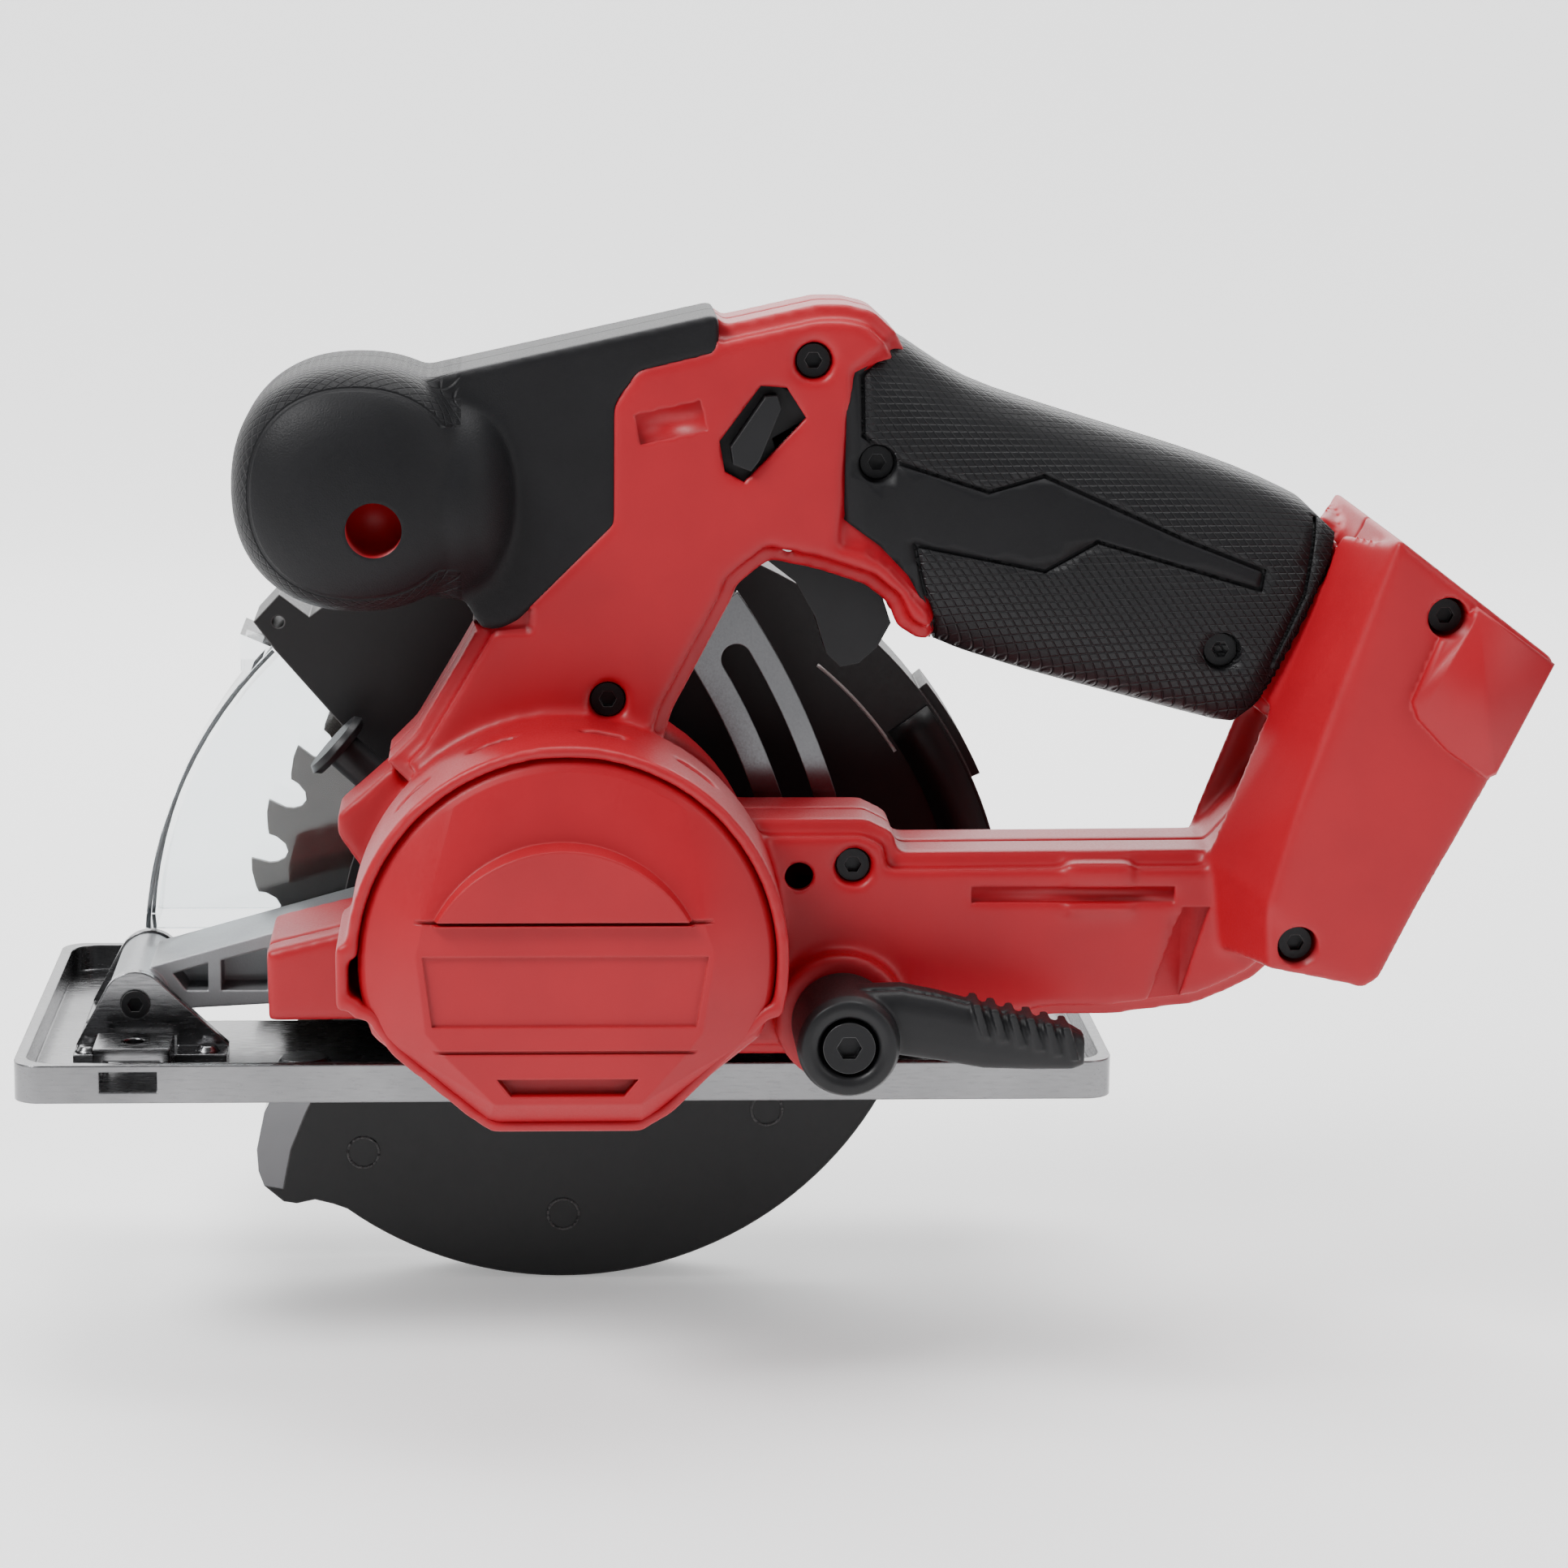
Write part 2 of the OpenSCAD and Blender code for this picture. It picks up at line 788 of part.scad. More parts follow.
module gear_case() {
    color([0.5, 0.51, 0.53]) difference() {
        union() {
            slab(case_y0, case_y1) case_outline();
            slab(case_y0, case_y0 + 5) case_flange_outline();
            bar(nose_r, case_y1 - 1, nose_y1, [0, arbor_h]);
            slab(case_y1 - 5, case_y1) intersection() {
                translate([0, arbor_h]) circle(r = guard_flange_r);
                translate([-60, guard_floor]) square([120, 120]);
            }
            slab(case_y0, arm_y1) arm_outline();
            slab(arm_y0, case_y0 + 1) intersection() {
                arm_outline();
                translate([-150, -20]) square([150 - barrel_r - 22, 100]);
            }
            bar(hinge_tube_r, ear_near + ear_t + 0.4, ear_far - ear_t - 0.4, [hinge_x, hinge_h]);
            on_lock_line() translate([0, 0, 16]) cylinder(r = 7, h = 32);
        }
        slab(arm_y0 - 1, arm_y0 + 10) polygon([
            [hinge_x + 8, 19.5], [-81.5, 21.8], [-81.5, 15.5], [hinge_x + 11, 15.5]
        ]);
        slab(arm_y0 - 1, arm_y0 + 10) polygon([
            [-78.5, 22.5], [-68, 25.3], [-68, 15.5], [-78.5, 15.5]
        ]);
        bar(gear_m * gear_teeth / 2 + gear_m + 1, case_y0 - 1, 2, [0, arbor_h]);
        bar(gear_m * pinion_teeth / 2 + gear_m + 1, case_y0 - 1, 2, [0, motor_h]);
        bar(14, 1, bearing_y1, [0, arbor_h]);
        bar(11, 10, nose_y1 + 1, [0, arbor_h]);
        bar(hinge_screw_r + running_gap, -60, 60, [hinge_x, hinge_h]);
        for (p = lug_places) {
            bar(2.15, case_y0 - 1, case_y0 + 6, p);
            bar(4.2, case_y0 + 5, case_y1 + 1, p);
        }
        difference() {
            bar(nose_r + 5, nose_y1 - 1.4, nose_y1 - 0.5, [0, arbor_h]);
            bar(nose_r - 1, nose_y1 - 2, nose_y1 + 1, [0, arbor_h]);
        }
        on_lock_line() {
            translate([0, 0, 10]) cylinder(r = 3 + pin_gap, h = 50);
            translate([0, 0, 34]) cylinder(r = 5.2, h = 20);
        }
        for (p = guard_screw_places) bar(1.7, case_y1 - 7, case_y1 + 1, p);
    }
}

guard_flange_r = nose_r + 14;
guard_screw_places = [for (a = [-14, 50, 130, 194]) polar(guard_flange_r - 4.5, a, 0, arbor_h)];

module gear_case_screws() {
    color([0.2, 0.2, 0.21]) for (p = lug_places) difference() {
        union() {
            bar(3.8, case_y0 + 5, case_y0 + 8.2, p);
            bar(1.7, plate_y0 - 1, case_y0 + 5, p);
        }
        translate([p[0], case_y0 + 10, p[1]]) rotate([90, 0, 0]) cylinder(r = 1.9, h = 3.6, $fn = 6);
    }
}

module spindle_bearing_rear() {
    color([0.8, 0.8, 0.82]) tube(7, 3.5 + running_gap, plate_y0 + 1, case_y0, [0, arbor_h]);
}

module spindle_bearing_front() {
    color([0.8, 0.8, 0.82]) tube(14, spindle_r + running_gap, bearing_y0, bearing_y1, [0, arbor_h]);
}

module spindle() {
    color([0.66, 0.66, 0.68]) difference() {
        union() {
            bar(3.5, plate_y0 + 1.6, case_y0 + 0.4, [0, arbor_h]);
            bar(6, case_y0 + 0.4, -13, [0, arbor_h]);
            bar(5, -13, -5, [0, arbor_h]);
            intersection() {
                bar(10.5, -5, 0.6, [0, arbor_h]);
                translate([-8.5, -6, arbor_h - 20]) cube([17, 8, 40]);
            }
            bar(8, 0.6, bearing_y0 - 0.3, [0, arbor_h]);
            bar(spindle_r, bearing_y0 - 0.3, blade_y0, [0, arbor_h]);
            bar(5, blade_y0, blade_y1 + 2.5, [0, arbor_h]);
        }
        bar(3, blade_y0 - 8, blade_y1 + 3, [0, arbor_h]);
    }
}

module inner_flange() {
    color([0.35, 0.35, 0.37]) difference() {
        union() {
            bar(8.2, bearing_y1 + 0.6, nose_y1 + 0.8, [0, arbor_h]);
            bar(flange_r, nose_y1 + 0.8, blade_y0, [0, arbor_h]);
            bar(blade_bore_r, blade_y0, blade_y1 - 0.1, [0, arbor_h]);
        }
        bar(spindle_r, bearing_y1, blade_y0, [0, arbor_h]);
        bar(5, blade_y0 - 1, blade_y1 + 1, [0, arbor_h]);
    }
}

// One saw tooth in polar form: gullet, cutting face, tip and relief
function tooth_points(a, pitch) = [
    polar(blade_r - 2.7, a - 0.46 * pitch), polar(blade_r - 4.6, a - 0.45 * pitch),
    polar(blade_r - 7, a - 0.37 * pitch), polar(blade_r - 8.1, a - 0.24 * pitch),
    polar(blade_r - 7.7, a - 0.11 * pitch), polar(blade_r - 6.2, a - 0.02 * pitch),
    polar(blade_r - 4.4, a + 0.02 * pitch), polar(blade_r, a),
    polar(blade_r - 0.6, a + 0.2 * pitch), polar(blade_r - 2, a + 0.45 * pitch)
];

module saw_blade() {
    pitch = 360 / blade_teeth;
    color([0.32, 0.31, 0.31]) difference() {
        slab(blade_y0, blade_y1) translate([0, arbor_h])
            polygon([for (i = [0:blade_teeth - 1]) each tooth_points(i * pitch, pitch)]);
        bar(blade_bore_r, blade_y0 - 1, blade_y1 + 1, [0, arbor_h]);
    }
}

module outer_flange() {
    color([0.35, 0.35, 0.37]) difference() {
        bar(flange_r, blade_y1, blade_y1 + 3.5, [0, arbor_h]);
        bar(5, blade_y1 - 1, blade_y1 + 2.5, [0, arbor_h]);
        bar(3, blade_y1, blade_y1 + 4, [0, arbor_h]);
    }
}

module blade_bolt() {
    head_y = blade_y1 + 3.5;
    color([0.25, 0.25, 0.27]) {
        bar(3, blade_y0 - 7, head_y, [0, arbor_h]);
        bar(8.5, head_y, head_y + 1.6, [0, arbor_h]);
        translate([0, head_y + 6, arbor_h]) rotate([90, 0, 0]) cylinder(r = 7.5, h = 4.4, $fn = 6);
    }
}

// ---- Guards ----
module upper_disc(r) {
    translate([guard_cx, guard_cz]) circle(r = r, $fn = 96);
}

// Line where the clear window starts, and everything ahead of it
window_top = polar(upper_r, 134.2, guard_cx, guard_cz);
module window_side() {
    polygon([[-160, 0], [-20, 0], [-20, 36], window_top + [-0.4, 0.3], window_top + [-60, 60], [-160, 120]]);
}

// Wall, rim and far wall of a guard shell for one outline
module guard_shell() {
    slab(guard_y0, guard_y0 + guard_t) difference() {
        intersection() {
            upper_disc(upper_r);
            children();
        }
        translate([0, arbor_h]) circle(r = nose_r + 6);
    }
    slab(guard_y0, guard_y1) intersection() {
        difference() {
            upper_disc(upper_r);
            upper_disc(upper_r - guard_t);
        }
        children();
    }
    slab(guard_y1 - guard_t, guard_y1) intersection() {
        difference() {
            upper_disc(upper_r);
            translate([0, arbor_h]) circle(r = far_wall_r);
        }
        children();
    }
}

far_wall_r = blade_r * 0.74;
hub_disc_r = 52;

module black_side() {
    difference() {
        translate([-160, guard_floor]) square([320, 200]);
        window_side();
    }
}

module clear_side() {
    difference() {
        intersection() {
            window_side();
            translate([-160, window_floor]) square([320, 200]);
        }
        translate([0, arbor_h]) circle(r = hub_disc_r);
    }
}

module upper_guard() {
    color([0.13, 0.13, 0.14]) difference() {
        union() {
            guard_shell() black_side();
            slab(guard_y0, guard_y0 + guard_t) difference() {
                intersection() {
                    translate([0, arbor_h]) circle(r = hub_disc_r);
                    translate([-160, guard_floor]) square([320, 200]);
                }
                translate([0, arbor_h]) circle(r = nose_r + 6);
            }
            slab(guard_y0 + 4, guard_y1) intersection() {
                difference() {
                    upper_disc(upper_r + 2.2);
                    upper_disc(upper_r - 1);
                }
                slice(upper_r + 20, 24, 38, [guard_cx, guard_cz]);
            }
            slab(guard_y0, guard_y1) polygon([
                window_top + [0, 0], window_top + [-4.5, 6], window_top + [1.5, 12.5],
                window_top + [10, 6]
            ]);
        }
        bar(nose_r + 0.1, guard_y0 - 1, guard_y0 + guard_t + 1, [0, arbor_h]);
        for (p = guard_screw_places) bar(2.15, guard_y0 - 1, guard_y0 + 4, p);
        bar(1.4, guard_y0 - 1, guard_y1 + 1, window_top + [1.2, 6]);
        slab(guard_y0 + guard_t, guard_y1 - guard_t) translate([0, arbor_h]) circle(r = lower_r + 1);
    }
}

module guard_window() {
    color([0.85, 0.9, 0.93, 0.35]) {
        guard_shell() clear_side();
        slab(guard_y0, guard_y1) polygon([
            window_top + [-0.6, 0.2], window_top + [-7.6, 3.2], window_top + [-7.6, -5.5],
            window_top + [-4.6, -5.5]
        ]);
    }
}

module guard_screws() {
    color([0.2, 0.2, 0.21]) for (p = guard_screw_places) bar(1.7, case_y1 - 6, guard_y0 + guard_t, p);
}

// Lower guard at rest covers the teeth below the shoe
heel_angle = 350;
strip_edge = [
    polar(lower_r - 17, 205, 0, arbor_h), polar(lower_r - 2, 212.8, 0, arbor_h),
    polar(lower_r + 4.6, 216.9, 0, arbor_h), polar(lower_r + 7.6, 219.6, 0, arbor_h),
    polar(lower_r + 9, 221.8, 0, arbor_h)
];
strip_back = [
    polar(lower_r + 6.3, 224, 0, arbor_h), polar(lower_r - 1.6, 220.2, 0, arbor_h),
    polar(lower_r - 10, 216.8, 0, arbor_h), polar(lower_r - 24, 210, 0, arbor_h)
];

// Side wall: from the hub out to the rim, ahead to the nose's edge
module lower_plan() {
    difference() {
        union() {
            translate([0, arbor_h]) intersection() {
                circle(r = lower_r, $fn = 96);
                slice(lower_r * 1.3, 200, heel_angle);
            }
            polygon(concat(strip_edge, [
                polar(lower_r + 8.4, 225.4, 0, arbor_h), polar(lower_r + 6.6, 227, 0, arbor_h),
                polar(lower_r + 3, 228.6, 0, arbor_h), polar(lower_r + 1, 231.3, 0, arbor_h),
                polar(lower_r - 1, 236, 0, arbor_h), polar(lower_r - 20, 228, 0, arbor_h)
            ]));
        }
        polygon(concat([polar(20, 180, 0, arbor_h), polar(lower_r - 46, 196, 0, arbor_h)], strip_edge, [
            polar(lower_r + 30, 218), polar(lower_r + 60, 200), polar(lower_r + 30, 180)
        ]));
    }
}

module nose_strip_plan() {
    polygon(concat(strip_edge, strip_back));
}

module lower_channel() {
    slab(lower_y0 + lower_t, lower_y1 - lower_t) difference() {
        translate([0, arbor_h]) circle(r = blade_r + 5, $fn = 96);
        translate([0, arbor_h]) circle(r = nose_r + 6);
    }
    slab(lower_y0 + lower_t, lower_y1 - lower_t) difference() {
        translate([0, arbor_h]) circle(r = lower_r - lower_t, $fn = 96);
        translate([0, arbor_h]) circle(r = blade_r + 4);
        translate([0, arbor_h]) slice(lower_r * 1.3, 190, 233);
    }
}

module lower_guard() {
    color([0.12, 0.12, 0.13]) difference() {
        union() {
            slab(lower_y0, lower_y1) difference() {
                lower_plan();
                nose_strip_plan();
            }
            bar(nose_r + 5, lower_y0, nose_y1 - 1.5, [0, arbor_h]);
        }
        bar(nose_r + running_gap, lower_y0 - 1, 30, [0, arbor_h]);
        lower_channel();
        bar(38, lower_y0 + lower_t + 0.6, lower_y1 + 1, [0, arbor_h]);
        for (p = lever_screw_places) bar(1.6, lower_y1 - 4, lower_y1 + 1, p);
    }
}

module guard_nose_strip() {
    color([0.8, 0.8, 0.82]) difference() {
        slab(lower_y0, lower_y1) nose_strip_plan();
        lower_channel();
    }
}

lever_angle = 352;
lever_screw_places = [polar(44, 346, 0, arbor_h), polar(52, 342, 0, arbor_h)];

module guard_lever() {
    out_y = guard_y1 + slide_gap;
    color([0.13, 0.13, 0.14]) difference() {
        union() {
            slab(lower_y1, out_y + 3) polygon([
                polar(40, lever_angle - 10, 0, arbor_h), polar(40, lever_angle - 1, 0, arbor_h),
                polar(far_wall_r - 1.5, lever_angle - 1, 0, arbor_h),
                polar(far_wall_r - 1.5, lever_angle - 14, 0, arbor_h), polar(46, lever_angle - 14, 0, arbor_h)
            ]);
            slab(out_y, out_y + 3) polygon([
                polar(40, lever_angle - 8, 0, arbor_h), polar(40, lever_angle - 1, 0, arbor_h),
                polar(82, lever_angle + 17, 0, arbor_h), polar(88, lever_angle + 14, 0, arbor_h),
                polar(82, lever_angle + 8, 0, arbor_h), polar(56, lever_angle - 10, 0, arbor_h)
            ]);
            slab(out_y, out_y + 16) polygon([
                polar(80, lever_angle + 16, 0, arbor_h), polar(82, lever_angle + 17, 0, arbor_h),
                polar(88, lever_angle + 14, 0, arbor_h), polar(86, lever_angle + 12.5, 0, arbor_h)
            ]);
        }
        for (p = lever_screw_places) {
            bar(1.6, lower_y1 - 1, out_y + 4, p);
            bar(3, out_y + 1, out_y + 4, p);
        }
    }
}

module guard_lever_screws() {
    out_y = guard_y1 + slide_gap;
    color([0.7, 0.7, 0.72]) for (p = lever_screw_places) {
        bar(1.6, lower_y1 - lower_t, out_y + 1, p);
        bar(2.9, out_y + 1, out_y + 2.6, p);
    }
}

// Flat clock spring round the nose, between the two guards
module guard_spring() {
    turns = 2.2;
    steps = 44;
    r0 = nose_r + 1;
    pitch = 1.9;
    wire = 0.7;
    color([0.7, 0.7, 0.72]) slab(guard_y0 + 0.3, guard_y0 + guard_t - 0.2) translate([0, arbor_h])
        polygon(concat(
            [for (i = [0:steps]) polar(r0 + pitch * turns * i / steps, 360 * turns * i / steps)],
            [for (i = [steps:-1:0]) polar(r0 + wire + pitch * turns * i / steps, 360 * turns * i / steps)]
        ));
}

module guard_retaining_ring() {
    color([0.75, 0.75, 0.77]) difference() {
        tube(nose_r + 3, nose_r - 1 + 0.05, nose_y1 - 1.4, nose_y1 - 0.6, [0, arbor_h]);
        translate([-2, 0, arbor_h]) cube([4, 30, 40]);
    }
}

// ---- Shoe ----
slot_x0 = -(lower_r + 1.6);
slot_x1 = nose_strip_r - 1.4;
slot_y0 = guard_y0 - 3;
slot_y1 = guard_y1 + 2;

module rounded_plan(grow) {
    translate([shoe_x0 - grow, -shoe_w / 2 - grow]) offset(r = 6) offset(delta = -6)
        square([shoe_l + 2 * grow, shoe_w + 2 * grow]);
}

module shoe() {
    color([0.72, 0.73, 0.75]) difference() {
        linear_extrude(rim_h) rounded_plan(0);
        translate([0, 0, shoe_t]) linear_extrude(rim_h) rounded_plan(-shoe_t);
        translate([slot_x0, slot_y0, -1]) cube([slot_x1 - slot_x0, slot_y1 - slot_y0, 20]);
        for (side = [-1, 1]) translate([guide_x - guide_w / 2, side * shoe_w / 2 - 5, shoe_t])
            cube([guide_w, 10, guide_t]);
        for (p = bracket_rivet_places) translate([p[0], p[1], -1]) cylinder(r = 2, h = 8);
        for (p = quadrant_rivet_places) translate([p[0], p[1], -1]) cylinder(r = 2, h = 8);
        translate([-59, -35, -1]) cylinder(r = 4, h = 8);
    }
}

bracket_rivet_places = [[foot_front + 3, ear_near - 4.5], [foot_back - 4.5, ear_near - 4.5], [foot_front + 3, -4]];
quadrant_rivet_places = [[hinge_x + quadrant_r - 6, quadrant_y0 - 9], [hinge_x + quadrant_r + 8, quadrant_y0 - 9]];

// Pressed bracket: two ears on feet, arched over the edge guide's bar
module ear_outline(back) {
    difference() {
        hull() {
            translate([hinge_x, hinge_h]) circle(r = hinge_tube_r + 0.5);
            translate([foot_front, shoe_t]) square([back - foot_front, 2.4]);
        }
        translate([hinge_x, hinge_h]) circle(r = hinge_screw_r);
        translate([guide_x - arch_half, 0]) square([2 * arch_half, shoe_t + guide_t]);
    }
}

module hinge_bracket() {
    base_t = 2;
    color([0.7, 0.71, 0.73]) difference() {
        union() {
            slab(ear_near, ear_near + ear_t) ear_outline(foot_back);
            slab(ear_far - ear_t, ear_far) ear_outline(guide_x + arch_half);
            for (x = [foot_front, guide_x + arch_half]) translate([x, ear_near - 8, shoe_t])
                cube([x < hinge_x ? 6 : foot_back - x, 8.5, base_t]);
            translate([foot_front, ear_near, shoe_t]) cube([6, ear_far - ear_near, base_t]);
        }
        for (p = bracket_rivet_places) translate([p[0], p[1], 0]) cylinder(r = 2, h = 8);
    }
}

module hinge_screw() {
    color([0.15, 0.15, 0.16]) difference() {
        union() {
            bar(hinge_screw_r, ear_near - 0.6, ear_far + 1, [hinge_x, hinge_h]);
            bar(hinge_screw_r + 1.6, ear_far, ear_far + 2.6, [hinge_x, hinge_h]);
        }
        translate([hinge_x, ear_near + 1.6, hinge_h]) rotate([90, 0, 0]) cylinder(r = 1.8, h = 4, $fn = 6);
    }
}

// Solid rivet: shank through the shoe with a low domed head on top
module rivet(p, z0, z1, head_r) {
    translate([p[0], p[1], z0]) cylinder(r = 2, h = z1 - z0);
    translate([p[0], p[1], z1]) cylinder(r1 = head_r, r2 = head_r - 1.2, h = 1.4);
}

module bracket_rivets() {
    color([0.66, 0.67, 0.69]) {
        for (p = bracket_rivet_places) rivet(p, 0, shoe_t + 2, 2.9);
        for (p = quadrant_rivet_places) rivet(p, 0, shoe_t + 2.5, 3.6);
    }
}

// Slotted arc centred on the hinge, with a foot riveted to the shoe
module depth_quadrant() {
    inner = quadrant_r - slot_half - strip_w;
    outer = quadrant_r + slot_half + strip_w - 1;
    top = depth_swing + lock_angle + 4.5;
    bottom = -asin((hinge_h - shoe_t) / inner);
    color([0.78, 0.79, 0.81]) {
        slab(quadrant_y0, quadrant_y0 + quadrant_t) difference() {
            intersection() {
                difference() {
                    translate([hinge_x, hinge_h]) circle(r = outer, $fn = 180);
                    translate([hinge_x, hinge_h]) circle(r = inner, $fn = 180);
                }
                slice(outer * 1.1, bottom - 6, top, [hinge_x, hinge_h]);
                translate([-200, shoe_t]) square([500, 300]);
            }
            intersection() {
                difference() {
                    translate([hinge_x, hinge_h]) circle(r = quadrant_r + slot_half, $fn = 180);
                    translate([hinge_x, hinge_h]) circle(r = quadrant_r - slot_half, $fn = 180);
                }
                slice(outer * 1.1, lock_angle, depth_swing + lock_angle, [hinge_x, hinge_h]);
            }
            translate(polar(quadrant_r, lock_angle, hinge_x, hinge_h)) circle(r = slot_half);
            translate(polar(quadrant_r, depth_swing + lock_angle, hinge_x, hinge_h)) circle(r = slot_half);
        }
        difference() {
            translate([hinge_x + quadrant_r - 13, quadrant_y0 - 16, shoe_t])
                cube([28, 16 + quadrant_t, 2.5]);
            for (p = quadrant_rivet_places) translate([p[0], p[1], 0]) cylinder(r = 2, h = 8);
        }
    }
}

// Bridge over the edge guide's bar, with a tapped hole for its thumbscrew
module guide_clamp() {
    color([0.68, 0.69, 0.71]) difference() {
        translate([guide_x - 8.5, guide_y0, shoe_t]) cube([17, 14.5, 7.5]);
        translate([guide_x - guide_w / 2, guide_y0 - 1, shoe_t - 1]) cube([guide_w, 20, guide_t + 1]);
        translate([guide_x, guide_y0 + 7.25, shoe_t]) cylinder(r = 2.5, h = 12);
    }
}

module clamp_rivet() {
    color([0.6, 0.61, 0.63]) {
        translate([-59, -35, 0]) cylinder(r = 4, h = shoe_t);
        translate([-59, -35, shoe_t]) cylinder(r1 = 6.5, r2 = 5.2, h = 1.8);
    }
}

// ---- Depth lock ----
lever_y0 = near_y - 32;
lever_y1 = near_y - 7.4;
module depth_lever() {
    color([0.14, 0.14, 0.15]) difference() {
        union() {
            bar(lever_hub_r, lever_y0, lever_y1, [lock_x, lock_h]);
            slab(lever_y0 + 8, lever_y1 - 5) polygon([
                [lock_x + 4, lock_h + 9.6], [lock_x + 22, lock_h + 8], [lock_x + 34, lock_h + 5],
                [lock_x + 52, lock_h + 2], [lock_x + 52, lock_h - 5.5], [lock_x + 46, lock_h - 6.5],
                [lock_x + 30, lock_h - 6], [lock_x + 8, lock_h - 6.5]
            ]);
        }
        bar(6.4, lever_y0 - 1, lever_y0 + 5, [lock_x, lock_h]);
        bar(lock_bolt_r + running_gap, lever_y0, lever_y1 + 1, [lock_x, lock_h]);
    }
}

module depth_lever_screw() {
    color([0.13, 0.13, 0.14]) difference() {
        bar(5.6, lever_y0 + 0.6, lever_y0 + 4.4, [lock_x, lock_h]);
        translate([lock_x, lever_y0 + 3, lock_h]) rotate([90, 0, 0]) cylinder(r = 2.7, h = 4, $fn = 6);
    }
}

module depth_lock_bolt() {
    washer_y = quadrant_y0 + quadrant_t + 0.3;
    color([0.6, 0.61, 0.63]) {
        bar(lock_bolt_r, lever_y0 + 4.4, washer_y, [lock_x, lock_h]);
        bar(8, washer_y, washer_y + 1.6, [lock_x, lock_h]);
        translate([lock_x, washer_y + 5.4, lock_h]) rotate([90, 0, 0])
            cylinder(r = 5.6, h = 3.8, $fn = 6);
    }
}

// ---- Trigger group ----
module trigger() {
    color([0.13, 0.13, 0.14]) difference() {
        slab(mid_y - trigger_half, mid_y + trigger_half) trigger_outline();
        bar(2 + running_gap, mid_y - 20, mid_y + 20, trigger_pivot);
        translate([trigger_pivot[0] - 6.5, mid_y - 4, trigger_pivot[1] - 6.5]) cube([13, 8, 16]);
    }
}

module trigger_pin() {
    color([0.7, 0.7, 0.72]) bar(2, mid_y - 14, mid_y + 14, trigger_pivot);
}

module wire_ring(r, wire, y, at) {
    translate([at[0], y, at[1]]) rotate([90, 0, 0]) rotate_extrude() translate([r, 0]) circle(r = wire, $fn = 16);
}

module trigger_spring() {
    color([0.75, 0.75, 0.77]) {
        for (i = [-2:2]) wire_ring(3.4, 0.62, mid_y + 1.2 * i, trigger_pivot);
        translate([trigger_pivot[0], mid_y, trigger_pivot[1] + 3.4]) rotate([0, 90, 0])
            cylinder(r = 0.55, h = 4.5);
    }
}

module switch_module() {
    x0 = reach(83);
    color([0.2, 0.2, 0.22]) {
        translate([x0, mid_y - 8, high(112)]) cube([26, 16, 22]);
        translate([x0 - 4, mid_y - 2.5, high(112) + 6]) cube([4, 5, 5]);
    }
}

module lock_off_lever() {
    tip = place(43.7, 156.5);
    color([0.13, 0.13, 0.14]) {
        for (y = [near_y - 1.6, far_y - 6.4]) slab(y, y + 8) polygon([
            lock_off_pivot + [-2.4, -1.6], lock_off_pivot + [1.4, -3], lock_off_pivot + [3.2, -0.6],
            tip + [2.2, -1.4], tip + [1.4, 1.2], tip + [-1.2, 1], lock_off_pivot + [-3, 2.2]
        ]);
        for (y = [near_y + wall + 1, far_y - wall - 2.6]) slab(y, y + 1.6) {
            translate(lock_off_pivot) circle(r = 7);
            translate(lock_off_pivot) slice(17, 30, 124);
        }
        bar(2, near_y + 6, far_y - 6, lock_off_pivot);
    }
}

module lock_off_spring() {
    color([0.75, 0.75, 0.77]) {
        for (i = [-2:2]) wire_ring(2.9, 0.55, mid_y + 1.05 * i, lock_off_pivot);
    }
}

// ---- Spindle lock ----
module spindle_lock_button() {
    color([0.12, 0.12, 0.13]) on_lock_line() {
        translate([0, 0, 20]) cylinder(r = 3, h = 30);
        translate([0, 0, 49]) cylinder(r = 4.3, h = 19.5);
        translate([0, 0, 68.5]) cylinder(r1 = 7.4, r2 = 8.4, h = 1.4);
        translate([0, 0, 69.9]) cylinder(r1 = 8.4, r2 = 7.6, h = 1.4);
    }
}

module spindle_lock_spring() {
    color([0.75, 0.75, 0.77]) on_lock_line() for (i = [0:6])
        translate([0, 0, 35 + 1.2 * i]) rotate_extrude() translate([4.2, 0]) circle(r = 0.62, $fn = 16);
}

// ---- Electrics ----
module control_board() {
    color([0.1, 0.3, 0.16]) translate([84, mid_y - 10, 26]) {
        cube([reach(132) - 84, 1.6, 24]);
        translate([6, 1.6, 4]) cube([14, 6, 14]);
        translate([26, 1.6, 5]) cube([10, 4, 10]);
    }
}

module terminal_block() {
    color([0.16, 0.16, 0.17]) on_rail() translate([-slide_deep, -16, rail_len - 20]) cube([9, 32, 17]);
}

module battery_terminals() {
    color([0.78, 0.6, 0.3]) on_rail() for (y = [-11.5, -4, 4, 11.5])
        translate([-slide_deep + 3, y - 0.5, rail_len - 34]) cube([4, 1, 14]);
}

// Leads from the terminals to the board, the switch and the motor
module lead(points, y, r) {
    slab(y - r, y + r) for (i = [0:len(points) - 2]) {
        run = points[i + 1] - points[i];
        translate(points[i]) circle(r = r);
        translate(points[i]) rotate(atan2(run[1], run[0])) translate([0, -r]) square([norm(run), 2 * r]);
    }
}

module power_leads() {
    color([0.1, 0.1, 0.1]) {
        lead([[place(150, 46)[0], 42], [reach(134), 38]], mid_y, 1.2);
        lead([[78, 40], [70, 36], [52, 30]], mid_y - 4, 1.2);
        lead([[78, 46], [66, 46], [52, 46]], mid_y + 4, 1.2);
        lead([place(111, 121), place(128, 124), place(146, 116), place(159, 102)], mid_y + 6, 1.2);
    }
}

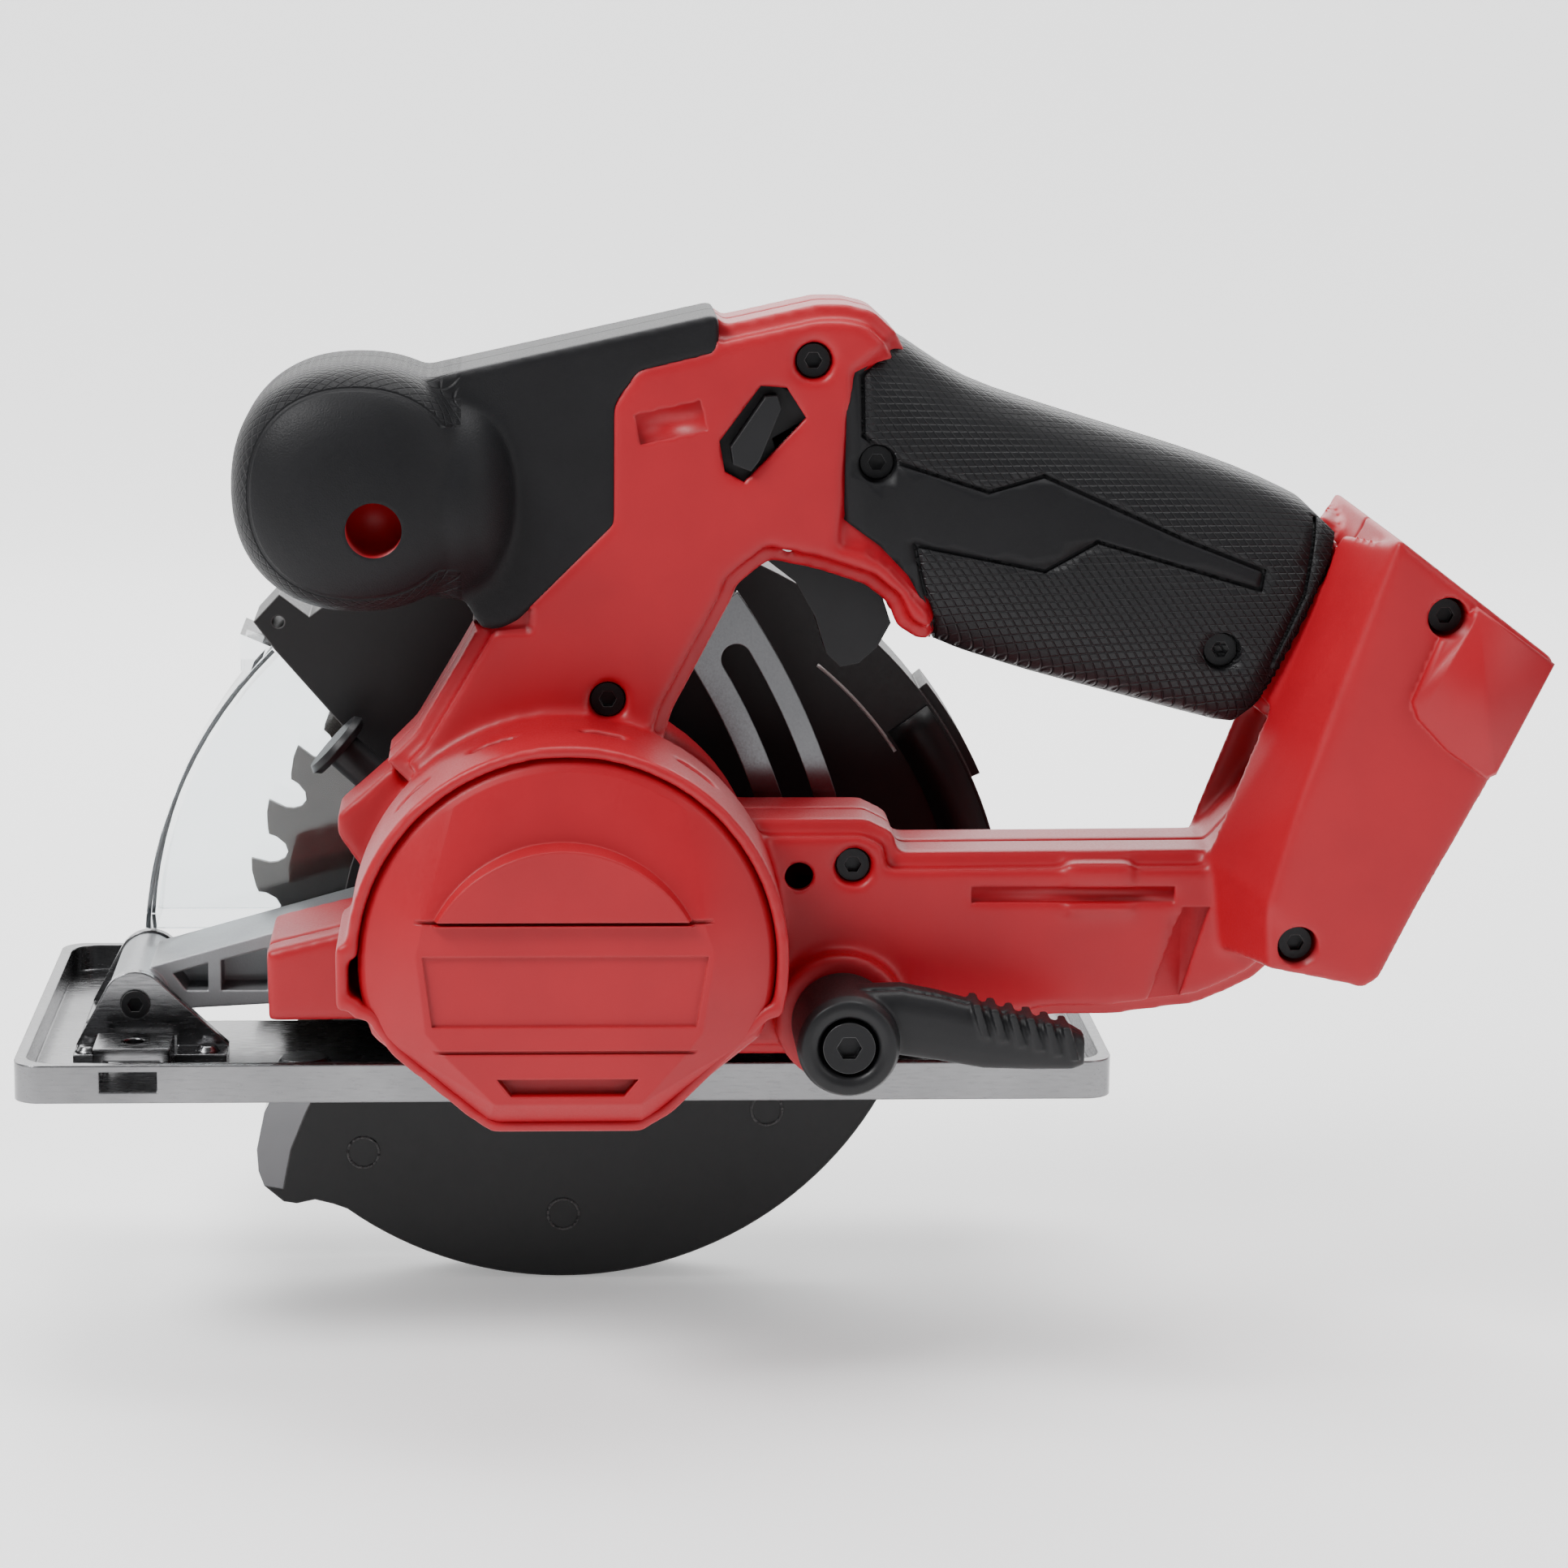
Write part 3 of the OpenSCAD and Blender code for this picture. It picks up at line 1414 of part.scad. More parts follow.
housing_left();
housing_right();
motor_end_cap();
front_grip_left();
front_grip_right();
rear_grip_left();
rear_grip_right();
housing_screws();
knob_screw();
stator_core();
stator_windings();
rotor_core();
rotor_shaft();
motor_fan();
rotor_bearing_rear();
rotor_bearing_front();
pinion();
bearing_plate();
gear_case();
gear_case_screws();
spindle_bearing_rear();
spindle_bearing_front();
spindle();
drive_gear();
inner_flange();
saw_blade();
outer_flange();
blade_bolt();
upper_guard();
guard_window();
guard_screws();
lower_guard();
guard_nose_strip();
guard_lever();
guard_lever_screws();
guard_spring();
guard_retaining_ring();
shoe();
hinge_bracket();
hinge_screw();
bracket_rivets();
depth_quadrant();
guide_clamp();
clamp_rivet();
depth_lever();
depth_lever_screw();
depth_lock_bolt();
trigger();
trigger_pin();
trigger_spring();
switch_module();
lock_off_lever();
lock_off_spring();
spindle_lock_button();
spindle_lock_spring();
control_board();
terminal_block();
battery_terminals();
power_leads();
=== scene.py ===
import json
import math
import bmesh
import bpy
from mathutils import Matrix, Vector


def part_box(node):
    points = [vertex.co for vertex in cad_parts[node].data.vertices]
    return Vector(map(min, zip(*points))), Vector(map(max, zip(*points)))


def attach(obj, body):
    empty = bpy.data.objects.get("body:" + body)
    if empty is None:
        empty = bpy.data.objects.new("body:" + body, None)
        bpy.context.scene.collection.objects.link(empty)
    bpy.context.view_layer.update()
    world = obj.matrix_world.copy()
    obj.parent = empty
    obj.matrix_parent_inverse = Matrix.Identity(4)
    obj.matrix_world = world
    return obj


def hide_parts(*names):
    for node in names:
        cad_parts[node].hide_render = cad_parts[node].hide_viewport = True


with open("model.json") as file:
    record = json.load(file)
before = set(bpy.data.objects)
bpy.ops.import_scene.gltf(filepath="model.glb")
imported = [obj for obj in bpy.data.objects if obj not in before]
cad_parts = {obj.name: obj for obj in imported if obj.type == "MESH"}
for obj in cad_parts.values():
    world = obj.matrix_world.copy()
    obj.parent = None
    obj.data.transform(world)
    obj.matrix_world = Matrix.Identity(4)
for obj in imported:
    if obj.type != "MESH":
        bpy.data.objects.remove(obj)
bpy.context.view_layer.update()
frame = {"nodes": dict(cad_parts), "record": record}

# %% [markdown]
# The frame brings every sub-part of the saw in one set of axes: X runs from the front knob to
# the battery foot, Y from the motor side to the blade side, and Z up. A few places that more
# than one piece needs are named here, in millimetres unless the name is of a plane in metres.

MM = 0.001
MID = -0.047
HALF = 0.017
NEAR_WALL = -64
ARBOR = (0, 24)
KNOB = (-44.8, 137.2)
KNOB_R = (27.4, 27.0)
FOOT_HALF = 38.4
nodes = frame["nodes"]
print("sub-parts in the frame:", len(nodes))

# %% [markdown]
# The saw stands on a pale studio sweep and is seen from its motor side, a little from above.
# A long lens keeps the two ends of the saw nearly the same size. The camera is placed by
# three turns (yaw, pitch and roll), which is easier to read than a pasted matrix.

# %% Camera
FOCAL_MM = 102.8
EYE = Vector((-0.00871, -1.02103, 0.26333))
PITCH, YAW, ROLL = (math.radians(a) for a in (11.244, 3.358, 0.596))


def camera_turn():
    ahead = Vector((math.sin(YAW) * math.cos(PITCH), math.cos(YAW) * math.cos(PITCH), -math.sin(PITCH)))
    right = ahead.cross(Vector((0, 0, 1))).normalized()
    up = right.cross(ahead)
    right, up = (right * math.cos(ROLL) + up * math.sin(ROLL),
                 up * math.cos(ROLL) - right * math.sin(ROLL))
    return Matrix((right, up, -ahead)).transposed().to_4x4()


camera = bpy.data.objects.new("camera", bpy.data.cameras.new("camera"))
camera.data.lens = FOCAL_MM
camera.data.sensor_width = 36
camera.data.clip_start = 0.05
camera.matrix_world = Matrix.Translation(EYE) @ camera_turn()
bpy.context.scene.collection.objects.link(camera)
bpy.context.scene.camera = camera
print("camera at", tuple(round(v, 3) for v in EYE))

# %% [markdown]
# A finish on a moulded or machined piece has four scales: its colour, a slow drift in that
# colour from handling, a fine grain that the mould or the shot left, and edges that are never
# razor sharp. One recipe holds all four, and each finish below only chooses its amounts. The
# rounded edges come from the Bevel node, which turns the normals near an edge.

# %% Recipe for a finish


def start_finish(name):
    material = bpy.data.materials.new(name)
    material.use_nodes = True
    tree = material.node_tree
    return material, tree, tree.nodes["Principled BSDF"]


def add(tree, kind, **values):
    node = tree.nodes.new(kind)
    for key, value in values.items():
        if key in node.inputs:
            node.inputs[key].default_value = value
        else:
            setattr(node, key, value)
    return node


def math_node(tree, operation, *terms):
    node = tree.nodes.new("ShaderNodeMath")
    node.operation = operation
    for place, term in enumerate(terms):
        if isinstance(term, (int, float)):
            node.inputs[place].default_value = term
        else:
            tree.links.new(term, node.inputs[place])
    return node.outputs[0]


def object_place(tree, turn=(0, 0, 0), stretch=(1, 1, 1)):
    coords = tree.nodes.new("ShaderNodeTexCoord").outputs["Object"]
    mapping = tree.nodes.new("ShaderNodeMapping")
    mapping.inputs["Rotation"].default_value = [math.radians(a) for a in turn]
    mapping.inputs["Scale"].default_value = stretch
    tree.links.new(coords, mapping.inputs["Vector"])
    return mapping.outputs["Vector"]


def noise(tree, size_mm, detail=3.0, place=None):
    node = add(tree, "ShaderNodeTexNoise", Scale=1 / (size_mm * MM), Detail=detail)
    tree.links.new(place or object_place(tree), node.inputs["Vector"])
    return node.outputs["Fac"]


def remap(tree, value, low, high, to_low, to_high):
    node = tree.nodes.new("ShaderNodeMapRange")
    for place, amount in enumerate((low, high, to_low, to_high), start=1):
        node.inputs[place].default_value = amount
    tree.links.new(value, node.inputs[0])
    return node.outputs[0]


def two_tone(tree, factor, first, second):
    node = tree.nodes.new("ShaderNodeMix")
    node.data_type = "RGBA"
    node.inputs["A"].default_value = (*first, 1)
    node.inputs["B"].default_value = (*second, 1)
    tree.links.new(factor, node.inputs["Factor"])
    return node.outputs["Result"]


def worn_edges(tree, radius_mm):
    rounded = add(tree, "ShaderNodeBevel", samples=6, Radius=radius_mm * MM).outputs[0]
    true = tree.nodes.new("ShaderNodeNewGeometry").outputs["Normal"]
    dot = tree.nodes.new("ShaderNodeVectorMath")
    dot.operation = "DOT_PRODUCT"
    tree.links.new(rounded, dot.inputs[0])
    tree.links.new(true, dot.inputs[1])
    return rounded, dot.outputs["Value"]


def finish(name, colour, rough, metal=0.0, drift=0.12, drift_mm=22, grain_mm=0.5, grain=0.08,
           depth_mm=0.02, edge_mm=0.5, wear=0.0, worn=None, rough_drift=0.06, stretch=(1, 1, 1),
           extra_height=None, gloss=0.5, coat=0.0):
    material, tree, shader = start_finish(name)
    place = object_place(tree, stretch=stretch)
    dark = [c * (1 - drift) for c in colour]
    light = [min(1, c * (1 + drift)) for c in colour]
    slow = noise(tree, drift_mm, 4)
    base = two_tone(tree, remap(tree, slow, 0.3, 0.7, 0, 1), dark, light)
    rounded, dot = worn_edges(tree, edge_mm)
    if wear:
        ragged = math_node(tree, "ADD", dot, math_node(tree, "MULTIPLY", noise(tree, 1.6, 4), 0.12))
        mask = remap(tree, ragged, 0.98, 1.03, wear, 0)
        mix = tree.nodes.new("ShaderNodeMix")
        mix.data_type = "RGBA"
        mix.inputs["B"].default_value = (*(worn or light), 1)
        tree.links.new(base, mix.inputs["A"])
        tree.links.new(mask, mix.inputs["Factor"])
        base = mix.outputs["Result"]
    tree.links.new(base, shader.inputs["Base Color"])
    shader.inputs["Metallic"].default_value = metal
    shader.inputs["Coat Weight"].default_value = coat
    shader.inputs["Coat Roughness"].default_value = 0.12
    shader.inputs["Specular IOR Level"].default_value = gloss
    fine = noise(tree, grain_mm, 4, place)
    tree.links.new(remap(tree, fine, 0.3, 0.7, rough - rough_drift, rough + rough_drift),
                   shader.inputs["Roughness"])
    height = math_node(tree, "MULTIPLY", fine, grain * 10)
    if extra_height:
        height = math_node(tree, "ADD", height, extra_height(tree))
    bump = add(tree, "ShaderNodeBump", Strength=0.6, Distance=depth_mm * MM)
    tree.links.new(height, bump.inputs["Height"])
    tree.links.new(rounded, bump.inputs["Normal"])
    tree.links.new(bump.outputs[0], shader.inputs["Normal"])
    return material


print("recipe ready")

# %% [markdown]
# The soft grips carry a pattern of small lozenges, like scales, that gives the palm a hold.
# Two sets of slanting waves cross each other, and the lower of the two is the height: where
# either wave dips there is a groove. On the handle the pattern is turned to follow the slope,
# and on the knob it runs round a band at the waist, with a plain groove along both its edges.

# %% Pattern of scales on the grips


def lozenges(tree, along, up):
    """Flat-topped scales with thin grooves between them, from two crossing waves."""
    ridges = []
    for way in ("ADD", "SUBTRACT"):
        wave = math_node(tree, "FRACT", math_node(tree, way, along, up))
        ridge = math_node(tree, "ABSOLUTE", math_node(tree, "SUBTRACT", wave, 0.5))
        ridges.append(math_node(tree, "SUBTRACT", 0.5, ridge))
    return remap(tree, math_node(tree, "MINIMUM", *ridges), 0.02, 0.14, 0, 1)


def parts_of(tree, vector):
    split = tree.nodes.new("ShaderNodeSeparateXYZ")
    tree.links.new(vector, split.inputs[0])
    return split.outputs["X"], split.outputs["Y"], split.outputs["Z"]


def scales(length_mm, height_mm, turn):
    def build(tree):
        x, y, z = parts_of(tree, object_place(tree, turn=(0, turn, 0)))
        along = math_node(tree, "MULTIPLY", x, 1 / (length_mm * MM))
        depth = math_node(tree, "MULTIPLY", y, 1 / (height_mm * 2 * MM))
        up = math_node(tree, "ADD", math_node(tree, "MULTIPLY", z, 1 / (height_mm * MM)), depth)
        return lozenges(tree, along, up)
    return build


BAND_HALF = 0.0254
BAND_PLACES = {"front": -0.0475, "top": 0.1515, "bottom": 0.1205, "neck": -0.0235}
GROOVE_DEPTH = 1.6


def band_region(tree, x, z):
    """1 on the front, top and bottom of the knob, and 0 on its two faces near the neck."""
    front = remap(tree, x, BAND_PLACES["front"], BAND_PLACES["front"] + 0.0005, 1, 0)
    top = remap(tree, z, BAND_PLACES["top"], BAND_PLACES["top"] + 0.0005, 0, 1)
    bottom = remap(tree, z, BAND_PLACES["bottom"], BAND_PLACES["bottom"] + 0.0005, 1, 0)
    before_neck = remap(tree, x, BAND_PLACES["neck"], BAND_PLACES["neck"] + 0.001, 1, 0)
    around = math_node(tree, "MAXIMUM", front, math_node(tree, "MAXIMUM", top, bottom))
    return math_node(tree, "MULTIPLY", around, before_neck)


def waist_band(length_mm, height_mm):
    """Scales laid round the knob, on a band with a groove along both its edges."""
    def build(tree):
        x, y, z = parts_of(tree, object_place(tree))
        from_axis = [math_node(tree, "SUBTRACT", place, value * MM) for place, value in zip((x, z), KNOB)]
        angle = math_node(tree, "ARCTAN2", from_axis[1], from_axis[0])
        round_knob = math_node(tree, "MULTIPLY", angle, KNOB_R[1] / length_mm)
        across = math_node(tree, "MULTIPLY", y, 1 / (height_mm * MM))
        from_middle = math_node(tree, "ABSOLUTE", math_node(tree, "SUBTRACT", y, MID))
        around = band_region(tree, x, z)
        on_band = remap(tree, from_middle, BAND_HALF - 0.0006, BAND_HALF - 0.0004, 1, 0)
        band = math_node(tree, "MULTIPLY", around, on_band)
        off_edge = math_node(tree, "ABSOLUTE", math_node(tree, "SUBTRACT", from_middle, BAND_HALF))
        groove = math_node(tree, "MULTIPLY", around, remap(tree, off_edge, 0.0002, 0.0005, 1, 0))
        raised = math_node(tree, "MULTIPLY", band, lozenges(tree, round_knob, across))
        return math_node(tree, "SUBTRACT", raised, math_node(tree, "MULTIPLY", groove, GROOVE_DEPTH))
    return build


print("patterns ready: scales and waist band")

# %% [markdown]
# A ground disc carries fine rings round its middle, left by the wheel. The height is a noise
# that depends only on the distance from the axis, so it turns with the blade without sliding.

# %% Turning marks on ground discs


def turning_marks(middle_mm, amount):
    def build(tree):
        x, _, z = parts_of(tree, object_place(tree))
        squares = []
        for place, value in zip((x, z), middle_mm):
            offset = math_node(tree, "SUBTRACT", place, value * MM)
            squares.append(math_node(tree, "MULTIPLY", offset, offset))
        away = math_node(tree, "SQRT", math_node(tree, "ADD", *squares))
        rings = add(tree, "ShaderNodeTexNoise", noise_dimensions="1D", Scale=2500, Detail=3)
        tree.links.new(away, rings.inputs["W"])
        return math_node(tree, "MULTIPLY", rings.outputs["Fac"], amount)
    return build


print("turning marks ready")

# %% [markdown]
# Each sub-part gets the finish of the real material: glass-filled nylon with a spark-eroded
# mould, soft over-moulded rubber, phosphated screws, ground and plated steel, die-cast
# aluminium that was shot blasted, varnished copper and clear polycarbonate.

# %% Finishes
RED = (0.31, 0.003, 0.010)
BLACK = (0.010, 0.010, 0.011)
RUBBER = (0.008, 0.008, 0.009)

red_nylon = finish("red_nylon", RED, 0.44, gloss=0.36, drift=0.07, grain_mm=0.45, grain=0.1,
                   depth_mm=0.018, edge_mm=0.7, wear=0.25, worn=(0.5, 0.04, 0.045))
grip_rubber = finish("grip_rubber", RUBBER, 0.5, gloss=0.17, drift=0.15, grain_mm=0.35, grain=0.16,
                     depth_mm=0.03, edge_mm=0.9, wear=0.2, worn=(0.035, 0.035, 0.037))
scaled_rubber = finish("scaled_rubber", RUBBER, 0.42, gloss=0.24, drift=0.12, grain_mm=0.35, grain=0.02,
                       depth_mm=0.6, edge_mm=0.9, extra_height=scales(3.4, 1.8, -26))
knob_rubber = finish("knob_rubber", RUBBER, 0.48, gloss=0.17, drift=0.12, grain_mm=0.35, grain=0.03,
                     depth_mm=0.5, edge_mm=1.2, extra_height=waist_band(3.4, 1.9))
black_nylon = finish("black_nylon", BLACK, 0.42, gloss=0.25, drift=0.12, grain_mm=0.4, grain=0.08,
                     edge_mm=0.5, wear=0.3, worn=(0.04, 0.038, 0.038))
guard_paint = finish("guard_paint", (0.006, 0.006, 0.0065), 0.4, gloss=0.3, drift=0.2, drift_mm=30,
                     grain_mm=0.6, grain=0.08, edge_mm=0.6, wear=0.6, worn=(0.16, 0.15, 0.15))
phosphate = finish("phosphate", (0.012, 0.012, 0.013), 0.4, metal=0.7, grain_mm=0.25, grain=0.1, edge_mm=0.25,
                   wear=0.5, worn=(0.2, 0.2, 0.2))
laminations = finish("laminations", (0.16, 0.16, 0.17), 0.5, metal=0.9, grain_mm=0.5, grain=0.4,
                     stretch=(0.1, 6, 0.1), edge_mm=0.2)
copper = finish("copper", (0.62, 0.25, 0.09), 0.34, metal=0.9, grain_mm=0.7, grain=0.5, depth_mm=0.2,
                stretch=(1, 0.15, 1), edge_mm=0.8, coat=0.5)
ground_steel = finish("ground_steel", (0.58, 0.58, 0.6), 0.26, metal=1.0, grain_mm=0.35, grain=0.05,
                      stretch=(1, 5, 1), edge_mm=0.3, drift=0.1)
spring_wire = finish("spring_wire", (0.5, 0.5, 0.51), 0.32, metal=1.0, grain_mm=0.3, edge_mm=0.2)
die_cast = finish("die_cast", (0.30, 0.31, 0.32), 0.46, metal=0.75, drift=0.14, grain_mm=0.5, grain=0.16,
                  depth_mm=0.05, edge_mm=0.8, wear=0.5, worn=(0.5, 0.5, 0.52))
blade_steel = finish("blade_steel", (0.055, 0.048, 0.043), 0.4, metal=0.8, drift=0.12, drift_mm=16,
                     grain_mm=0.5, grain=0.05, edge_mm=0.2, wear=0.6, worn=(0.30, 0.27, 0.24),
                     extra_height=turning_marks(ARBOR, 0.9))
shoe_steel = finish("shoe_steel", (0.20, 0.20, 0.205), 0.22, metal=1.0, drift=0.16, drift_mm=34,
                    grain_mm=1.1, grain=0.05, depth_mm=0.02, edge_mm=0.7, stretch=(0.25, 2.2, 2.2),
                    rough_drift=0.09)
plated_strip = finish("plated_strip", (0.12, 0.12, 0.125), 0.18, metal=1.0, drift=0.08, grain_mm=0.5,
                      grain=0.03, edge_mm=0.35, rough_drift=0.04)
solder_mask = finish("solder_mask", (0.02, 0.12, 0.045), 0.35, grain_mm=1.5, grain=0.1, edge_mm=0.2,
                     coat=0.3)
strip_brass = finish("strip_brass", (0.72, 0.52, 0.2), 0.28, metal=1.0, grain_mm=0.4, edge_mm=0.2)
lead_cover = finish("lead_cover", (0.02, 0.02, 0.022), 0.45, grain_mm=0.4, edge_mm=0.3)


def clear_sheet(name):
    material, tree, shader = start_finish(name)
    shader.inputs["Base Color"].default_value = (0.93, 0.96, 0.97, 1)
    shader.inputs["IOR"].default_value = 1.46
    shader.inputs["Transmission Weight"].default_value = 1.0
    scuffs = noise(tree, 6, 6)
    tree.links.new(remap(tree, scuffs, 0.45, 0.75, 0.03, 0.16), shader.inputs["Roughness"])
    return material


clear_plastic = clear_sheet("clear_plastic")
FINISHES = {
    "red_shell": red_nylon, "black_rubber": grip_rubber, "black_plastic": black_nylon,
    "black_cast": guard_paint, "clear_window": clear_plastic, "black_screws": phosphate,
    "stator_iron": laminations, "copper_wire": copper, "bright_steel": ground_steel,
    "spring_steel": spring_wire, "die_cast": die_cast, "blade_steel": blade_steel,
    "shoe_steel": shoe_steel, "bright_plated": plated_strip, "board_green": solder_mask,
    "terminal_brass": strip_brass, "lead_cover": lead_cover,
}
OWN_FINISHES = {
    "rear_grip_left": scaled_rubber, "rear_grip_right": scaled_rubber,
    "lower_guard": guard_paint, "depth_lever_screw": phosphate,
}
for part in frame["record"]["subparts"]:
    piece = nodes[part["node"]]
    chosen = OWN_FINISHES.get(part["node"], FINISHES[part["material_slot"]])
    piece.data.materials.clear()
    piece.data.materials.append(chosen)
print("finishes made:", len(FINISHES) + len(OWN_FINISHES))

# %% [markdown]
# The next pieces take the place of plain sub-parts. They start from a ring of points, a small
# outline or a copy of a sub-part, and Blender's own operators shape them. Finished pieces keep
# their object at the origin, with their place in the mesh, so that finishes line up.

# %% Tools for the pieces


def make_piece(name, bm, material):
    mesh = bpy.data.meshes.new(name)
    bmesh.ops.recalc_face_normals(bm, faces=bm.faces)
    bm.to_mesh(mesh)
    bm.free()
    mesh.materials.append(material)
    for face in mesh.polygons:
        face.use_smooth = True
    piece = bpy.data.objects.new(name, mesh)
    bpy.context.scene.collection.objects.link(piece)
    return piece


def settle(piece):
    """Turns a piece's modifiers into plain mesh."""
    graph = bpy.context.evaluated_depsgraph_get()
    done = bpy.data.meshes.new_from_object(piece.evaluated_get(graph), depsgraph=graph)
    old = piece.data
    piece.modifiers.clear()
    piece.data = done
    bpy.data.meshes.remove(old)
    return piece


def carve(piece, cutter, operation="DIFFERENCE"):
    """Cuts with another solid, or adds it or keeps only what both share, and uses it up."""
    cut = piece.modifiers.new("cut", "BOOLEAN")
    cut.operation = operation
    cut.solver = "EXACT"
    cut.object = cutter
    settle(piece)
    bpy.data.objects.remove(cutter)


def melt(piece, voxel_mm, rounds):
    """Merges what overlaps and rounds every edge, as a mould with soft corners would."""
    remesh = piece.modifiers.new("voxels", "REMESH")
    remesh.mode = "VOXEL"
    remesh.voxel_size = voxel_mm * MM
    settle(piece)
    bm = bmesh.new()
    bm.from_mesh(piece.data)
    for _ in range(rounds):
        bmesh.ops.smooth_vert(bm, verts=bm.verts, factor=0.5, use_axis_x=True, use_axis_y=True,
                              use_axis_z=True)
    bm.to_mesh(piece.data)
    bm.free()
    for face in piece.data.polygons:
        face.use_smooth = True


def soften(piece, width_mm, segments, angle):
    rounding = piece.modifiers.new("rounding", "BEVEL")
    rounding.width = width_mm * MM
    rounding.segments = segments
    rounding.limit_method = "ANGLE"
    rounding.angle_limit = math.radians(angle)
    rounding.harden_normals = True
    settle(piece)


def slab(bm, outline_mm, y0_mm, y1_mm):
    """A plate between two depths, from an outline of (x, z) points."""
    verts = [bm.verts.new((x * MM, y0_mm * MM, z * MM)) for x, z in outline_mm]
    face = bm.faces.new(verts)
    grown = bmesh.ops.extrude_face_region(bm, geom=[face])["geom"]
    moved = [v for v in grown if isinstance(v, bmesh.types.BMVert)]
    bmesh.ops.translate(bm, vec=(0, (y1_mm - y0_mm) * MM, 0), verts=moved)


def rod(bm, place_mm, radius_mm, length_mm, segments=40, far_radius_mm=None):
    """A round bar along Y about a middle point, mostly used as a drill."""
    bmesh.ops.create_cone(bm, cap_ends=True, segments=segments, radius1=radius_mm * MM,
                          radius2=(far_radius_mm or radius_mm) * MM, depth=length_mm * MM,
                          matrix=Matrix.Translation([c * MM for c in place_mm])
                          @ Matrix.Rotation(math.pi / 2, 4, "X"))


def wrap(bm, points_mm):
    """The tightest convex skin round some (x, y, z) points."""
    verts = [bm.verts.new([c * MM for c in point]) for point in points_mm]
    hull = bmesh.ops.convex_hull(bm, input=verts)
    spare = [v for v in hull["geom_interior"] if isinstance(v, bmesh.types.BMVert)]
    bmesh.ops.delete(bm, geom=spare, context="VERTS")


def loft(bm, stations, count, place):
    """Extrudes a ring from station to station; place(station, turn) says where each point goes."""
    ring = bmesh.ops.create_circle(bm, segments=count, radius=1)["verts"]
    edges = list({edge for vert in ring for edge in vert.link_edges})
    bmesh.ops.contextual_create(bm, geom=edges)
    for number, station in enumerate(stations):
        if number:
            grown = bmesh.ops.extrude_edge_only(bm, edges=edges)["geom"]
            edges = [e for e in grown if isinstance(e, bmesh.types.BMEdge) and len(e.link_faces) == 1]
            order = []
            for vert in ring:
                order.append(next(e.other_vert(vert) for e in vert.link_edges
                                  if e.other_vert(vert) in grown and e.other_vert(vert) not in ring))
            ring = order
        for step, vert in enumerate(ring):
            vert.co = Vector(place(station, 2 * math.pi * step / count))
    bmesh.ops.contextual_create(bm, geom=edges)


def superellipse(turn, power):
    c, s = math.cos(turn), math.sin(turn)
    return (math.copysign(abs(c) ** (2 / power), c), math.copysign(abs(s) ** (2 / power), s))


def copy_of(name, node_name):
    bm = bmesh.new()
    bm.from_mesh(nodes[node_name].data)
    bmesh.ops.remove_doubles(bm, verts=bm.verts, dist=0.00001)
    mesh = bpy.data.meshes.new(name)
    bm.to_mesh(mesh)
    bm.free()
    piece = bpy.data.objects.new(name, mesh)
    bpy.context.scene.collection.objects.link(piece)
    return piece


def joined(name, base, bm):
    """base's mesh with the solids of bm added to it."""
    bmesh.ops.recalc_face_normals(bm, faces=bm.faces)
    bm.from_mesh(base.data)
    bm.to_mesh(base.data)
    bm.free()
    base.name = name
    return base


def smooth_step(value, low, high):
    t = min(1, max(0, (value - low) / (high - low)))
    return t * t * (3 - 2 * t)


print("tools ready")

# %% [markdown]
# The rear grip and the housing meet along one line, so both need to know where the rubber
# lies. The zone is the outline of the rubber seen from the side. Each station gives the middle
# of the handle's section at one place, with its half height and its slope in degrees.

# %% Where the rear grip lies
GRIP_STATIONS = [
    (56, 141, 38, 6), (64, 139.5, 36.5, 6), (72, 137.6, 34.4, 5), (78, 134.4, 31.2, 0), (84, 131.4, 28.6, -6),
    (92, 128.4, 28.4, -15), (101, 125.6, 28.4, -20), (112, 122.2, 28.6, -22), (124, 118.8, 28.4, -23),
    (136, 115.2, 28, -24), (147, 111.2, 27.2, -26), (155, 108, 26, -27), (162, 105.2, 25.4, -27),
]
GRIP_ZONE = [
    (71.5, 172.4), (60.2, 163.7), (59.9, 130.8), (67.7, 125.2), (74, 118.6), (77.4, 112.4), (77.8, 104),
    (82, 96), (120, 84), (152.5, 82), (158.2, 99), (163.6, 112), (168, 127.5), (150, 145), (90, 176),
]


def inside(point, outline):
    x, z = point
    found = False
    for (x0, z0), (x1, z1) in zip(outline, outline[1:] + outline[:1]):
        if (z0 > z) != (z1 > z) and x < (x1 - x0) * (z - z0) / (z1 - z0) + x0:
            found = not found
    return found


def edge_distance(point, outline):
    """How far a point lies from the nearest edge of an outline, in millimetres."""
    nearest = 1000.0
    for (ax, az), (bx, bz) in zip(outline, outline[1:] + outline[:1]):
        dx, dz = bx - ax, bz - az
        share = ((point[0] - ax) * dx + (point[1] - az) * dz) / (dx * dx + dz * dz)
        share = max(0.0, min(1.0, share))
        nearest = min(nearest, math.hypot(point[0] - ax - share * dx, point[1] - az - share * dz))
    return nearest


def spine(x):
    """Middle height and half height of the rear grip at x."""
    for (x0, z0, h0, _), (x1, z1, h1, _) in zip(GRIP_STATIONS, GRIP_STATIONS[1:]):
        if x0 <= x <= x1:
            t = (x - x0) / (x1 - x0)
            return z0 + t * (z1 - z0), h0 + t * (h1 - h0)
    return GRIP_STATIONS[-1][1], GRIP_STATIONS[-1][2]


print("grip zone runs from x =", min(x for x, _ in GRIP_ZONE), "to", max(x for x, _ in GRIP_ZONE), "mm")

